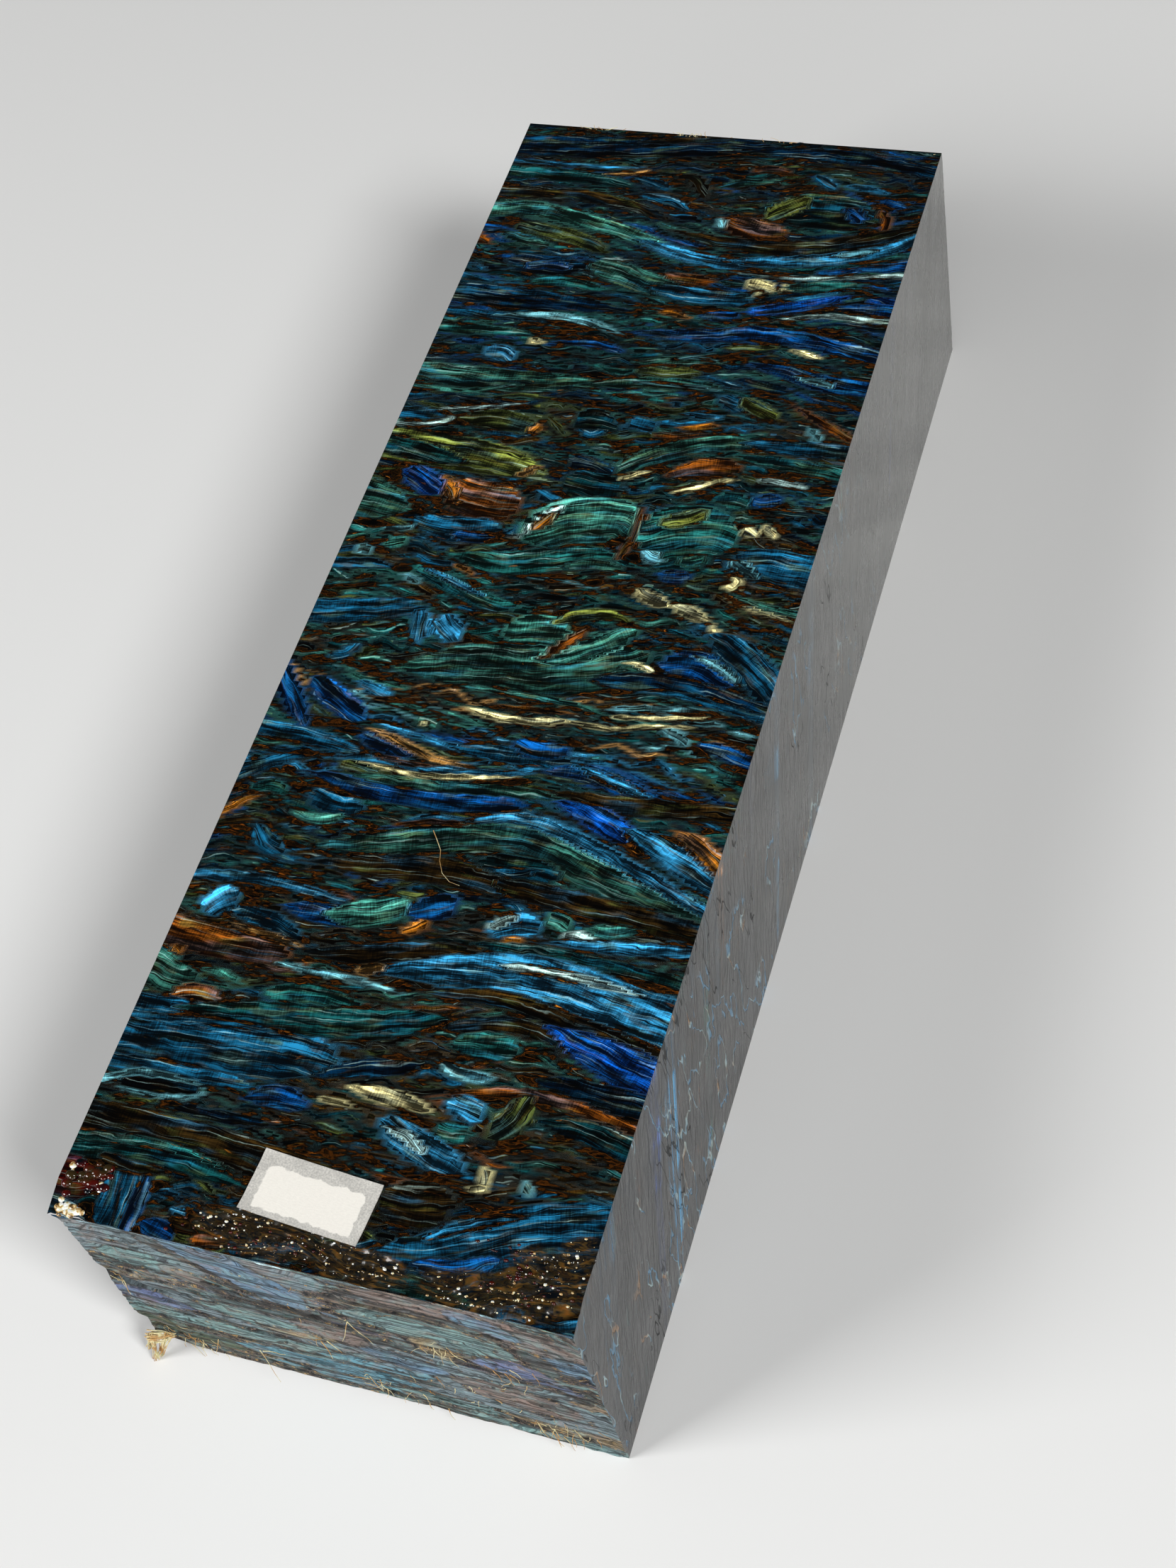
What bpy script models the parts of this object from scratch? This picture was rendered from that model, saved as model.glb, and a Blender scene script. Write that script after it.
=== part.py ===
"""A knife-maker's blank: dyed wood strands pressed in resin, sawn to a block, with a small paper label.

The origin is on the underside, in the middle. +X runs across the block, +Y along it, away from the
labelled end, and +Z up. Lengths are in metres.
"""

import math

import bmesh
import bpy
import numpy as np
from mathutils import Matrix, Vector, noise

# Driving sizes of the block
LENGTH = 0.130
WIDTH = 0.045
HEIGHT = 0.0284
MM = 0.001

FRONT = -LENGTH / 2
BACK = LENGTH / 2
LEFT = -WIDTH / 2
RIGHT = WIDTH / 2

# Spacing of the cut lines that carry the relief
CROSS_STEP = 1.5 * MM
LAYER_STEP = 1.2 * MM
END_STRIP_STEP = 1.1 * MM
END_STRIP_COUNT = 8
BACK_STRIP = (0.6 * MM, 1.4 * MM)

# Relief of the sawn ends and of the open grain on the top, near the labelled end
SAW_GROOVE = 0.10 * MM
SAW_PITCH = 2.4 * MM
END_HOLLOW = 0.22 * MM
PIT_DEPTH = 0.55 * MM
PIT_SIZE = 1.9 * MM
OPEN_GRAIN = (  # (centre x, centre y, half length across, half depth along)
    (-0.0050, FRONT + 0.0022, 0.0095, 0.0030),
    (0.0160, FRONT + 0.0034, 0.0075, 0.0042),
)

# Broken edges
CORNER_DROP = 0.8 * MM
CORNER_REACH = 3.2 * MM
BACK_EDGE_WEAR = 0.45 * MM
EDGE_TEETH = 0.22 * MM
CROWDING = 8 * MM  # how far from a broken edge its neighbours still move with it
LEFT_EDGE = (  # (height, how far the corner of the sawn end is set in there)
    (0.0, 1.2 * MM),
    (5.9 * MM, 1.7 * MM),
    (6.4 * MM, 0.95 * MM),
    (8.0 * MM, 0.75 * MM),
    (15.2 * MM, 1.2 * MM),
    (17.6 * MM, 1.8 * MM),
    (18.4 * MM, 1.1 * MM),
    (HEIGHT, 1.1 * MM),
)
FOOT_EDGE = (  # (place across, how high the torn foot of the sawn end is there)
    (LEFT, 3.2 * MM),
    (-19.8 * MM, 2.2 * MM),
    (-17.8 * MM, 1.35 * MM),
    (0.0, 1.25 * MM),
    (5.0 * MM, 1.0 * MM),
    (RIGHT, 0.0),
)

# The split between two layers, open at the left corner of the sawn end
SPLIT_MOUTH = 1.9 * MM
SPLIT_LENGTH = 5.0 * MM
SPLIT_DEPTH = 2.6 * MM
SPLIT_HEIGHT = 0.0163
SPLIT_FALL = 2.1 * MM
OVERCUT = 1.0 * MM

# The paper label
LABEL_LENGTH = 10.7 * MM
LABEL_WIDTH = 5.4 * MM
LABEL_THICKNESS = 0.22 * MM
LABEL_CENTRE = Vector((-1.15 * MM, -58.9 * MM))
LABEL_TURN = math.radians(-5.2)
GLUE_LINE = 0.05 * MM

# The frayed strand at the foot of the left corner: a knot of fibres lying against the end, and
# the legs that hang from it to the ground, as (start, tip, radius at the start), in millimetres
FRAY_LEGS = (
    ((-21.5, -65.65, 3.5), (-18.7, -65.45, 5.0), 0.62),
    ((-21.2, -65.65, 3.7), (-22.3, -65.90, 0.9), 0.42),
    ((-21.0, -65.65, 3.8), (-21.65, -66.45, 0.3), 0.40),
    ((-19.3, -65.60, 4.7), (-21.40, -66.20, 0.3), 0.40),
)
FRAY_TIP_RADIUS = 0.12 * MM
FRAY_SIDES = 6

TINY = 1e-6


def clear_scene():
    for obj in list(bpy.data.objects):
        bpy.data.objects.remove(obj)


def material(name, colour, roughness):
    made = bpy.data.materials.new(name)
    made.use_nodes = True
    shader = made.node_tree.nodes["Principled BSDF"]
    shader.inputs["Base Color"].default_value = (*colour, 1.0)
    shader.inputs["Roughness"].default_value = roughness
    shader.inputs["Metallic"].default_value = 0.0
    return made


def object_from(name, bm, finish):
    mesh = bpy.data.meshes.new(name)
    bm.to_mesh(mesh)
    bm.free()
    mesh.materials.append(finish)
    obj = bpy.data.objects.new(name, mesh)
    bpy.context.scene.collection.objects.link(obj)
    return obj


def box(centre, size):
    """A closed box as a bmesh."""
    bm = bmesh.new()
    bmesh.ops.create_cube(bm, size=1.0)
    bmesh.ops.scale(bm, vec=size, verts=bm.verts)
    bmesh.ops.translate(bm, vec=centre, verts=bm.verts)
    return bm


def cut_lines(bm, axis, places):
    """Cuts every face along planes across one axis, so that the relief has corners to move."""
    normal = Vector((0, 0, 0))
    normal[axis] = 1.0
    for place in places:
        bmesh.ops.bisect_plane(
            bm,
            geom=bm.verts[:] + bm.edges[:] + bm.faces[:],
            dist=TINY,
            plane_co=normal * place,
            plane_no=normal,
        )


def steps(low, high, step):
    """Evenly spaced places between two ends, leaving out the ends."""
    count = round((high - low) / step)
    return [low + (high - low) * k / count for k in range(1, count)]


def ripple(place, size):
    """Smooth noise from 0 to 1, whose lumps are about size across."""
    return 0.5 + 0.5 * noise.noise(place / size)


def open_grain(x, y):
    """1 in the middle of a patch of open grain, falling to 0 at its edge."""
    strongest = 0.0
    for centre_x, centre_y, half_x, half_y in OPEN_GRAIN:
        away = ((x - centre_x) / half_x) ** 2 + ((y - centre_y) / half_y) ** 2
        strongest = max(strongest, 1.0 - away)
    return min(1.0, 1.6 * strongest)


def profile(points, place):
    """The value at a place, on the line through a profile's points."""
    places, values = zip(*points)
    return float(np.interp(place, places, values))


def crowded(away, moved):
    """How far a point moves when an edge that is this far away moves by an amount."""
    return moved * max(0.0, 1.0 - away / CROWDING)


def shape_top(vert, was):
    """Open-grain pits near the labelled end, the two worn corners, and the worn back edge."""
    pit = ripple(was, PIT_SIZE) * open_grain(was.x, was.y)
    vert.co.z -= PIT_DEPTH * pit
    for side in (LEFT, RIGHT):
        away = (Vector((side, FRONT)) - was.xy).length / CORNER_REACH
        vert.co.z -= CORNER_DROP * max(0.0, 1.0 - away)
    if was.y > BACK - TINY:
        wear = BACK_EDGE_WEAR * ripple(was, 2 * PIT_SIZE)
        vert.co.y -= wear
        vert.co.z -= 0.5 * wear


def shape_sawn_end(vert, was, inwards):
    """Shallow saw grooves across the end, with hollows where crumbs of wood tore out."""
    groove = 0.5 + 0.5 * noise.noise(Vector((was.x / 0.02, 0.0, was.z / SAW_PITCH)))
    hollow = max(0.0, 2.0 * ripple(was + Vector((0.01, 0, 0)), 3 * PIT_SIZE) - 1.1)
    vert.co.y += inwards * (SAW_GROOVE * groove + END_HOLLOW * hollow)


def shape_broken_edges(vert, was):
    """The splintered left corner of the labelled end, and its torn foot."""
    teeth = EDGE_TEETH * ripple(Vector((0.0, 0.0, was.z)), LAYER_STEP)
    vert.co.x += crowded(was.x - LEFT, profile(LEFT_EDGE, was.z) + teeth)
    vert.co.z += crowded(was.z, profile(FOOT_EDGE, was.x))


def layer_split():
    """A closed wedge: wide at the left corner, running out to nothing between two layers."""
    bm = bmesh.new()
    outline = (
        (LEFT - OVERCUT, SPLIT_HEIGHT - SPLIT_MOUTH / 2),
        (LEFT + SPLIT_LENGTH, SPLIT_HEIGHT - SPLIT_FALL),
        (LEFT - OVERCUT, SPLIT_HEIGHT + SPLIT_MOUTH / 2),
    )
    corners = [bm.verts.new((x, FRONT - OVERCUT, z)) for x, z in outline]
    face = bm.faces.new(corners)
    grown = bmesh.ops.extrude_face_region(bm, geom=[face])
    moved = [e for e in grown["geom"] if isinstance(e, bmesh.types.BMVert)]
    bmesh.ops.translate(bm, vec=(0, SPLIT_DEPTH + OVERCUT, 0), verts=moved)
    bmesh.ops.recalc_face_normals(bm, faces=bm.faces)
    return bm


def make_blank(finish):
    bm = box((0, 0, HEIGHT / 2), (WIDTH, LENGTH, HEIGHT))
    strip = [FRONT + END_STRIP_STEP * k for k in range(1, END_STRIP_COUNT + 1)]
    cut_lines(bm, 1, strip + [BACK - back for back in BACK_STRIP])
    cut_lines(bm, 0, steps(LEFT, RIGHT, CROSS_STEP))
    cut_lines(bm, 2, steps(0.0, HEIGHT, LAYER_STEP))
    for vert in bm.verts:
        was = vert.co.copy()
        if was.z > HEIGHT - TINY:
            shape_top(vert, was)
        inside = LEFT + TINY < was.x < RIGHT - TINY and TINY < was.z < HEIGHT - TINY
        if inside and was.y < FRONT + TINY:
            shape_sawn_end(vert, was, 1.0)
        if inside and was.y > BACK - TINY:
            shape_sawn_end(vert, was, -1.0)
        if was.y < FRONT + TINY:
            shape_broken_edges(vert, was)
    bmesh.ops.triangulate(bm, faces=bm.faces)
    blank = object_from("blank", bm, finish)

    cutter = object_from("layer_split_cutter", layer_split(), finish)
    cutter.hide_render = True
    cutter.display_type = "WIRE"
    split = blank.modifiers.new("Layer split", "BOOLEAN")
    split.operation = "DIFFERENCE"
    split.object = cutter
    return blank


def make_label(finish):
    bm = box((0, 0, LABEL_THICKNESS / 2), (LABEL_LENGTH, LABEL_WIDTH, LABEL_THICKNESS))
    label = object_from("label", bm, finish)
    label.location = (*LABEL_CENTRE, HEIGHT + GLUE_LINE)
    label.rotation_euler = (0, 0, LABEL_TURN)
    return label


def fray_leg(start, tip, radius):
    """One tapered leg of the frayed strand."""
    span = tip - start
    bm = bmesh.new()
    bmesh.ops.create_cone(
        bm,
        cap_ends=True,
        segments=FRAY_SIDES,
        radius1=radius,
        radius2=FRAY_TIP_RADIUS,
        depth=span.length,
        matrix=Matrix.Translation((start + tip) / 2)
        @ span.to_track_quat("Z", "Y").to_matrix().to_4x4(),
    )
    return bm


def make_frayed_strand(finish):
    knot, *legs = [
        object_from("fray_leg", fray_leg(MM * Vector(start), MM * Vector(tip), MM * radius), finish)
        for start, tip, radius in FRAY_LEGS
    ]
    knot.name = "frayed_strand"
    for leg in legs:
        leg.hide_render = True
        leg.display_type = "WIRE"
        join = knot.modifiers.new("Join leg", "BOOLEAN")
        join.operation = "UNION"
        join.object = leg
    return knot


def main():
    clear_scene()
    make_blank(material("dyed_wood_resin", (0.045, 0.130, 0.170), 0.30))
    make_label(material("label_paper", (0.86, 0.84, 0.80), 0.65))
    make_frayed_strand(material("bare_fibre", (0.55, 0.42, 0.20), 0.80))


main()
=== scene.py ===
# %% [markdown]
# # A blank of dyed wood and resin
# This notebook dresses a small block that knife makers buy: strands of wood, dyed blue and teal,
# pressed together in dark resin and sawn to 130 x 45 x 28 mm. The top is polished and glossy, the
# sides are sanded to a satin, and the ends are left as the saw cut them. A paper label sits near
# one end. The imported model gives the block's size and place, and every piece here is built on it.

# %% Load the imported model
import math
from random import Random

import bmesh
import bpy
import numpy as np
from mathutils import Matrix, Vector, noise


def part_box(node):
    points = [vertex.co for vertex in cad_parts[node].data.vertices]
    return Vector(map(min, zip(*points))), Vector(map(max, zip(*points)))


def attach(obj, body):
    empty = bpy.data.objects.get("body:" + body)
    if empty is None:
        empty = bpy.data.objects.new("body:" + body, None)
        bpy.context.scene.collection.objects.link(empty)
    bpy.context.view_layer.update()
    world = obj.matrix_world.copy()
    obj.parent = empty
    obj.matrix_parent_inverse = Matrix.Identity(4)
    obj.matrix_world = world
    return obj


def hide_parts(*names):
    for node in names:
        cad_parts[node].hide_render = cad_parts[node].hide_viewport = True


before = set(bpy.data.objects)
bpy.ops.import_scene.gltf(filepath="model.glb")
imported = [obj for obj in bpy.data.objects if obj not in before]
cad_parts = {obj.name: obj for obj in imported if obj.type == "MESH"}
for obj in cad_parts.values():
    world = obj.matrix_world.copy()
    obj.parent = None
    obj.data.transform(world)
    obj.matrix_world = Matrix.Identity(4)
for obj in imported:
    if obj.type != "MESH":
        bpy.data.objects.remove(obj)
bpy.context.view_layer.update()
print("packed nodes:", sorted(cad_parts))

# %% [markdown]
# ## Sizes
# The block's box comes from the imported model, so nothing here can drift from it. The layout of the
# strands is in millimetres, as a maker would measure it on the block: x across, y along it.

# %% The block's box, in millimetres
MM = 0.001
block_low, block_high = (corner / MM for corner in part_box("blank"))
LEFT, FRONT, FOOT = block_low
RIGHT, BACK, TOP = block_high
print(f"block: x {LEFT:.2f}..{RIGHT:.2f}, y {FRONT:.2f}..{BACK:.2f}, z {FOOT:.2f}..{TOP:.2f} mm")

# %% [markdown]
# ## The camera
# The photograph looks down on the block from its labelled end, from the right, with the camera
# rolled a little. Three directions fix such a view: where the eye is, which way is right in the
# picture, and which way is up. A perspective camera with a 54 mm lens gives the same convergence.

# %% Place the camera
EYE = Vector((0.0689, -0.1185, 0.1923))
VIEW_RIGHT = Vector((0.9431, 0.2888, -0.1650)).normalized()
VIEW_UP = Vector((-0.1515, 0.8147, 0.5598)).normalized()
LENS = 53.59

camera = bpy.data.objects.new("camera", bpy.data.cameras.new("camera"))
bpy.context.scene.collection.objects.link(camera)
view_back = VIEW_RIGHT.cross(VIEW_UP).normalized()
turn = Matrix((VIEW_RIGHT, view_back.cross(VIEW_RIGHT), view_back)).transposed()
camera.matrix_world = Matrix.Translation(EYE) @ turn.to_4x4()
camera.data.lens = LENS
camera.data.clip_start = 0.01
bpy.context.scene.camera = camera
print("camera looks along", tuple(round(c, 3) for c in -view_back))

# %% [markdown]
# ## The studio
# The block lies on a plain pale table. A polished dark surface shows whatever it mirrors, so the
# place that the top mirrors, high behind the block, is left dark. The key softbox stands to the
# right and a little in front, and throws a soft shadow to the left. A larger one on the left is
# nearly as strong and throws a softer shadow to the right. A weak one in front lifts the sawn end.

# %% Light the table
def softbox(name, towards, side, power):
    """A square lamp a metre from the block, in a direction, turned to face the block."""
    lamp = bpy.data.lights.new(name, "AREA")
    lamp.shape = "SQUARE"
    lamp.size = side
    lamp.energy = power
    holder = bpy.data.objects.new(name, lamp)
    bpy.context.scene.collection.objects.link(holder)
    holder.location = Vector(towards).normalized()
    holder.rotation_euler = holder.location.to_track_quat("Z", "Y").to_euler()
    return holder


softbox("key", (0.627, -0.344, 0.698), 0.28, 7.2)
softbox("left_fill", (-0.65, -0.51, 0.54), 0.42, 7.1)
softbox("front_fill", (0.10, -0.85, 0.50), 0.6, 1.5)

GLOW_COLOUR = (0.95, 0.98, 1.0, 1.0)
GLOW = 0.03
world = bpy.data.worlds.new("studio")
bpy.context.scene.world = world
world.use_nodes = True
world.node_tree.nodes["Background"].inputs["Color"].default_value = GLOW_COLOUR
world.node_tree.nodes["Background"].inputs["Strength"].default_value = GLOW
bpy.context.scene.view_settings.view_transform = "Standard"
print("lamps:", [lamp.name for lamp in bpy.data.lights])

# %% [markdown]
# ## Colours
# Paint shops give colours as the eye reads them, from 0 to 255. The renderer wants how much light
# a surface sends back, which is a steeper scale, so one small function turns one into the other.

# %% Name the tones
def light_of(tone):
    """The share of light that a colour of 0 to 255 sends back, red, green and blue."""
    shares = (value / 255 for value in tone)
    return tuple(s / 12.92 if s < 0.04045 else ((s + 0.055) / 1.055) ** 2.4 for s in shares)


TONES = {
    "ink": (4, 10, 16),
    "navy": (6, 42, 66),
    "petrol": (12, 52, 58),
    "deep_teal": (24, 76, 80),
    "teal": (44, 108, 108),
    "sea": (78, 142, 134),
    "ice": (124, 182, 196),
    "pale": (176, 206, 208),
    "white": (236, 238, 236),
    "cobalt": (16, 82, 138),
    "vivid": (20, 96, 180),
    "sky": (60, 136, 176),
    "steel": (30, 92, 122),
    "slate": (58, 104, 98),
    "moss": (112, 122, 66),
    "olive": (78, 88, 52),
    "cream": (222, 216, 170),
    "straw": (196, 156, 98),
    "gold": (168, 116, 44),
    "rust": (122, 76, 28),
    "bark": (82, 62, 27),
    "umber": (48, 37, 17),
    "oxblood": (74, 12, 6),
}
print(len(TONES), "tones")

# %% [markdown]
# ## The large strands on the top
# The eye knows the block by its large strands. Each is given by its tone, its width and the few
# points that its middle line runs through, in millimetres. A strand is lens-shaped: widest in
# the middle, drawn out at its ends. One that leaves the block at a side runs on past it. Later
# strands lie on earlier ones.

# %% Lay out the strands
STRANDS = (
    # the far end
    ("navy", 2.9, (-22, 61.4), (-10, 62.2), (-3, 63.2), (6, 63.9)),
    ("navy", 2.0, (-2, 62.4), (8, 63.2), (15, 63), (22, 62)),
    ("umber", 0.7, (-9.5, 63.2), (-3, 64.2), (1, 64.9)),
    ("deep_teal", 1.6, (-22, 57.4), (-14, 57.2), (-8, 56.4)),
    ("sky", 0.45, (-22, 58.9), (-15, 58.9), (-10, 59.1), (-7, 59.6)),
    ("straw", 0.4, (-12.3, 57.9), (-9, 58.3), (-7, 59)),
    ("steel", 1.2, (-9, 57.8), (-6.5, 57.3), (-4, 56.4)),
    ("umber", 1.6, (-4.6, 58.2), (-2.4, 58.4), (-0.9, 56.8), (0.2, 55)),
    ("slate", 0.9, (0.3, 57.1), (3, 58.2), (7, 58.7)),
    ("rust", 0.8, (3.6, 60.1), (6, 60.6), (8, 60.1)),
    ("steel", 1.3, (9.9, 60.1), (11.6, 59.3), (13.2, 58.3)),
    ("sky", 0.8, (14, 58.9), (16.6, 58.7), (19, 58.2)),
    ("petrol", 4.4, (5.5, 54.6), (10, 55), (15, 55), (18.6, 54.3)),
    ("moss", 2.0, (6.4, 52.9), (8.2, 54.6), (10.8, 56.7)),
    ("cobalt", 1.5, (14.6, 55.6), (16, 54.7), (17, 53.7)),
    ("cobalt", 1.0, (17.6, 57.3), (19.2, 56.9), (20.8, 56.4)),
    ("rust", 1.0, (17.6, 56.4), (19.1, 54.4), (18.7, 52.4), (16.6, 51.6)),
    ("rust", 2.8, (1.6, 53), (4.4, 52), (7.4, 51.4), (10, 51.6)),
    ("ice", 0.7, (2, 52.9), (2.4, 52.1), (2.7, 51.4)),
    ("steel", 1.3, (-7, 55.2), (-3.9, 54.7), (-0.8, 53.2)),
    ("umber", 1.5, (-22, 54.2), (-14, 54.6), (-7, 53.4), (-2, 51.6)),
    ("umber", 1.8, (-3, 50.6), (4, 49.4), (12, 49.6), (19, 51.8), (22, 53.4)),
    # the long pale bow
    ("sea", 1.9, (-22, 51.4), (-17.5, 51.9), (-11, 50.6), (-5, 48.9), (0, 47.2)),
    ("sky", 1.5, (-6.2, 48.9), (-2, 47.6), (3, 46.6), (8, 46.5)),
    ("sky", 1.5, (4, 46.9), (10, 47.4), (15.5, 48.5), (20, 50.2), (23, 52.4)),
    ("ice", 0.7, (14.6, 48.8), (16.6, 49.2), (19.4, 50.2)),
    ("olive", 1.9, (-19.5, 49.4), (-15.5, 48.8), (-11, 47.9), (-7.8, 46.4)),
    ("slate", 1.3, (-20.4, 48), (-17.4, 47.4), (-14, 46.8)),
    ("rust", 1.5, (-22, 46.9), (-20.6, 46.3)),
    ("pale", 0.35, (-8.4, 45.7), (-5.6, 45.7)),
    ("navy", 2.4, (-18.5, 44.2), (-14, 44.1), (-9.6, 44.3)),
    ("cobalt", 1.1, (-16.2, 43.6), (-13.6, 44.1), (-11.4, 43.9)),
    ("slate", 2.7, (-9.6, 44.6), (-6.2, 43.9), (-2, 42.6), (2, 41.8)),
    ("steel", 1.8, (-3.2, 42.4), (1, 41.8), (6, 41.7), (9, 42.2)),
    ("rust", 1.3, (-2, 44.3), (1, 43.9), (4.4, 43.9)),
    ("cream", 1.5, (7.1, 44.1), (8.8, 43.8), (10.6, 43.3)),
    ("cream", 0.8, (8.4, 43), (9.2, 42.5)),
    ("cream", 0.7, (10.6, 44.2), (11.7, 43.4)),
    ("cobalt", 1.3, (17, 47.2), (20, 47.6), (22, 48.2)),
    ("pale", 0.4, (5, 45.5), (12, 45.3), (17.4, 46.1), (22, 46.9)),
    ("teal", 1.5, (11, 43.9), (15, 44.4), (19, 45)),
    ("sky", 0.5, (11.2, 42.1), (14.6, 43), (17.8, 44.6)),
    ("vivid", 2.1, (19.6, 43.4), (20.9, 43), (22, 42.6)),
    ("vivid", 1.4, (8, 40), (12, 41.1), (15.2, 42.2), (18.2, 43.6)),
    ("cobalt", 1.3, (16, 41.4), (19, 42), (22, 42)),
    ("teal", 1.3, (-15, 41.5), (-11, 42), (-6.4, 41.3)),
    ("steel", 1.0, (-22, 41.4), (-18.6, 41)),
    ("pale", 0.6, (8.4, 38.5), (11.4, 39.3), (15.7, 40.5), (22, 40.6)),
    ("cobalt", 1.3, (3.4, 39.1), (5.4, 39.2), (8, 39.6)),
    ("gold", 0.7, (-0.8, 39), (0.8, 39.1), (3, 38.5)),
    ("slate", 0.8, (-2.4, 40.6), (0.6, 40)),
    ("navy", 2.4, (-22, 39.2), (-12, 39.1), (-2.4, 38.8)),
    ("steel", 0.9, (-22, 36.4), (-14.8, 36.4), (-9, 36.4)),
    ("ice", 1.0, (-17.4, 36.5), (-12, 37), (-7.6, 36.7), (-3, 35.4)),
    ("cobalt", 1.7, (-3.4, 35.9), (4, 36.3), (10.4, 37.4), (16, 36.9), (22, 35.9)),
    ("moss", 0.6, (7.4, 35.1), (10.6, 35.5), (13, 36)),
    ("cream", 0.6, (13.4, 35.9), (15.6, 35.3), (17.6, 34.9)),
    # between the two bows
    ("teal", 1.2, (-22, 34), (-16, 34.4), (-11, 34.4)),
    ("cream", 0.8, (-12.9, 33.5), (-10.9, 33.4)),
    ("cobalt", 1.0, (-10, 33.5), (-6, 34), (-2.2, 33.2)),
    ("sky", 1.9, (-17, 31.2), (-15, 31.5), (-13.2, 30.6)),
    ("slate", 1.0, (-1.2, 32), (3, 32.8), (8.8, 33.4)),
    ("ice", 0.35, (2.4, 32.9), (5, 33.4), (7.6, 33.2)),
    ("olive", 1.6, (-0.8, 31), (2.6, 31), (6, 31.5)),
    ("cobalt", 1.9, (9.6, 33.4), (14, 32.8), (18, 31.8), (22, 31.6)),
    ("ice", 0.7, (15, 32.3), (17.2, 32), (19.4, 31.5)),
    ("navy", 1.2, (9.4, 31.3), (12.6, 30.6), (15.6, 30.4)),
    ("slate", 2.6, (-22, 28), (-13, 27.9), (-6.4, 28.6), (-1, 29.3)),
    ("slate", 1.3, (-6, 28.2), (0.6, 29.5), (8.8, 30)),
    ("ice", 0.35, (-0.4, 29.4), (4, 29.6), (8.6, 29.5)),
    ("sea", 0.4, (-22, 26), (-17, 26), (-13.4, 27), (-11, 27.8)),
    ("pale", 0.55, (-18.9, 23.3), (-14.8, 24), (-10.2, 25.2)),
    ("steel", 1.4, (-22, 22.4), (-20, 22.5), (-17.9, 22.4)),
    ("pale", 0.45, (-22, 20.9), (-18.7, 21.3), (-17.1, 22.2), (-17.9, 23.3)),
    ("olive", 2.3, (-16.4, 22.4), (-12, 22.8), (-8, 22.2)),
    ("gold", 0.9, (-8.6, 21.5), (-7.6, 22.9)),
    ("olive", 0.9, (-8, 24.2), (-6, 22.6), (-4.8, 21.4)),
    ("petrol", 3.0, (-5, 23.6), (-2.6, 23.9), (0, 23.4)),
    ("steel", 0.9, (-4.2, 22.8), (-2.8, 22.1), (-1.2, 22.8)),
    ("steel", 1.6, (0.6, 24.4), (2, 24.2), (3.8, 24)),
    ("gold", 0.7, (5.4, 24.3), (7.4, 24.5), (9.6, 25.2)),
    ("rust", 0.8, (3.6, 23), (6.4, 23.3), (9.6, 23.9)),
    ("sky", 0.7, (5.4, 26.2), (7.6, 26), (9.9, 26.1)),
    ("steel", 1.7, (8.4, 28.6), (10, 28), (11.4, 27.2)),
    ("moss", 1.5, (10.8, 28.7), (12.8, 27.6), (15.2, 26.8)),
    ("ice", 0.6, (18.2, 26.1), (19, 25), (20, 24)),
    ("rust", 1.0, (14.6, 29.4), (18, 27.4), (22, 25.4)),
    ("slate", 2.0, (0, 16.4), (2.8, 19.4), (6.2, 21.4), (10.4, 22.9), (14.6, 23.3)),
    ("steel", 1.6, (12, 23.2), (17, 23.3), (22, 23.5)),
    ("teal", 1.5, (11, 21.6), (16, 21.3), (22, 20.8)),
    ("pale", 0.7, (14.9, 19.1), (17.6, 18.9), (20.2, 18.5)),
    ("rust", 2.0, (5.6, 17.9), (9, 19.6), (13.4, 20.2)),
    ("cream", 0.65, (7.2, 16.2), (9.6, 17.2), (11.2, 18.2), (13, 18.7)),
    ("cream", 0.5, (1.6, 17), (3.2, 17.9), (4.8, 18.6)),
    ("teal", 1.7, (11.2, 16), (13.4, 16.2), (15.2, 15.8)),
    ("cobalt", 1.6, (15.1, 16.6), (16.2, 16.5), (18, 17.2)),
    # the tumbled middle
    ("moss", 3.7, (-24, 18.3), (-17, 18.1), (-10, 17.6), (-5, 16.7)),
    ("deep_teal", 2.0, (-22, 18.1), (-18, 17.6), (-13.6, 16.9)),
    ("straw", 0.8, (-8.2, 15.9), (-7.2, 16.8), (-6.2, 17.6)),
    ("navy", 2.0, (-4, 18.9), (-1, 18.2), (1.4, 17.6)),
    ("petrol", 3.0, (-3.6, 16.3), (0, 15.8), (2.8, 15.9)),
    ("rust", 4.0, (-15.4, 13.6), (-11, 12.6), (-6.4, 12.4)),
    ("gold", 0.7, (-16, 15.2), (-14.2, 13.6), (-12.8, 11.6)),
    ("vivid", 2.5, (-19.7, 15.3), (-17.4, 14.2), (-15, 12.8)),
    ("slate", 4.4, (-22.6, 11.2), (-20, 10.9), (-17.2, 10.4)),
    ("ice", 0.5, (-19.4, 7.8), (-17.4, 8), (-15.8, 8.6)),
    ("sea", 1.3, (-18.6, 5.7), (-17.4, 6.2), (-16, 6.7)),
    ("ice", 1.0, (-21.2, 4.6), (-20.2, 5), (-19, 4.8)),
    ("steel", 2.6, (-17, 9.4), (-12.4, 8.7), (-7.4, 9.4)),
    ("cobalt", 1.2, (-12.4, 8.1), (-9.6, 8), (-7.6, 8.5)),
    ("steel", 1.3, (-6.2, 14.8), (-4.4, 13.9), (-2.8, 13.2)),
    ("teal", 2.5, (-12.4, 5.7), (-6, 5.5), (-0.6, 6.9), (4.6, 8)),
    ("sea", 5.0, (-5.8, 8.7), (-1.6, 11.2), (3.2, 12), (5.4, 11)),
    ("pale", 0.5, (-6, 8.3), (-4.3, 10.8), (-2.3, 13.4)),
    ("gold", 0.35, (-4.6, 9.8), (-2.9, 12.2)),
    ("rust", 1.0, (4.8, 14.6), (5.4, 11.6), (4.4, 7.4)),
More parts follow.
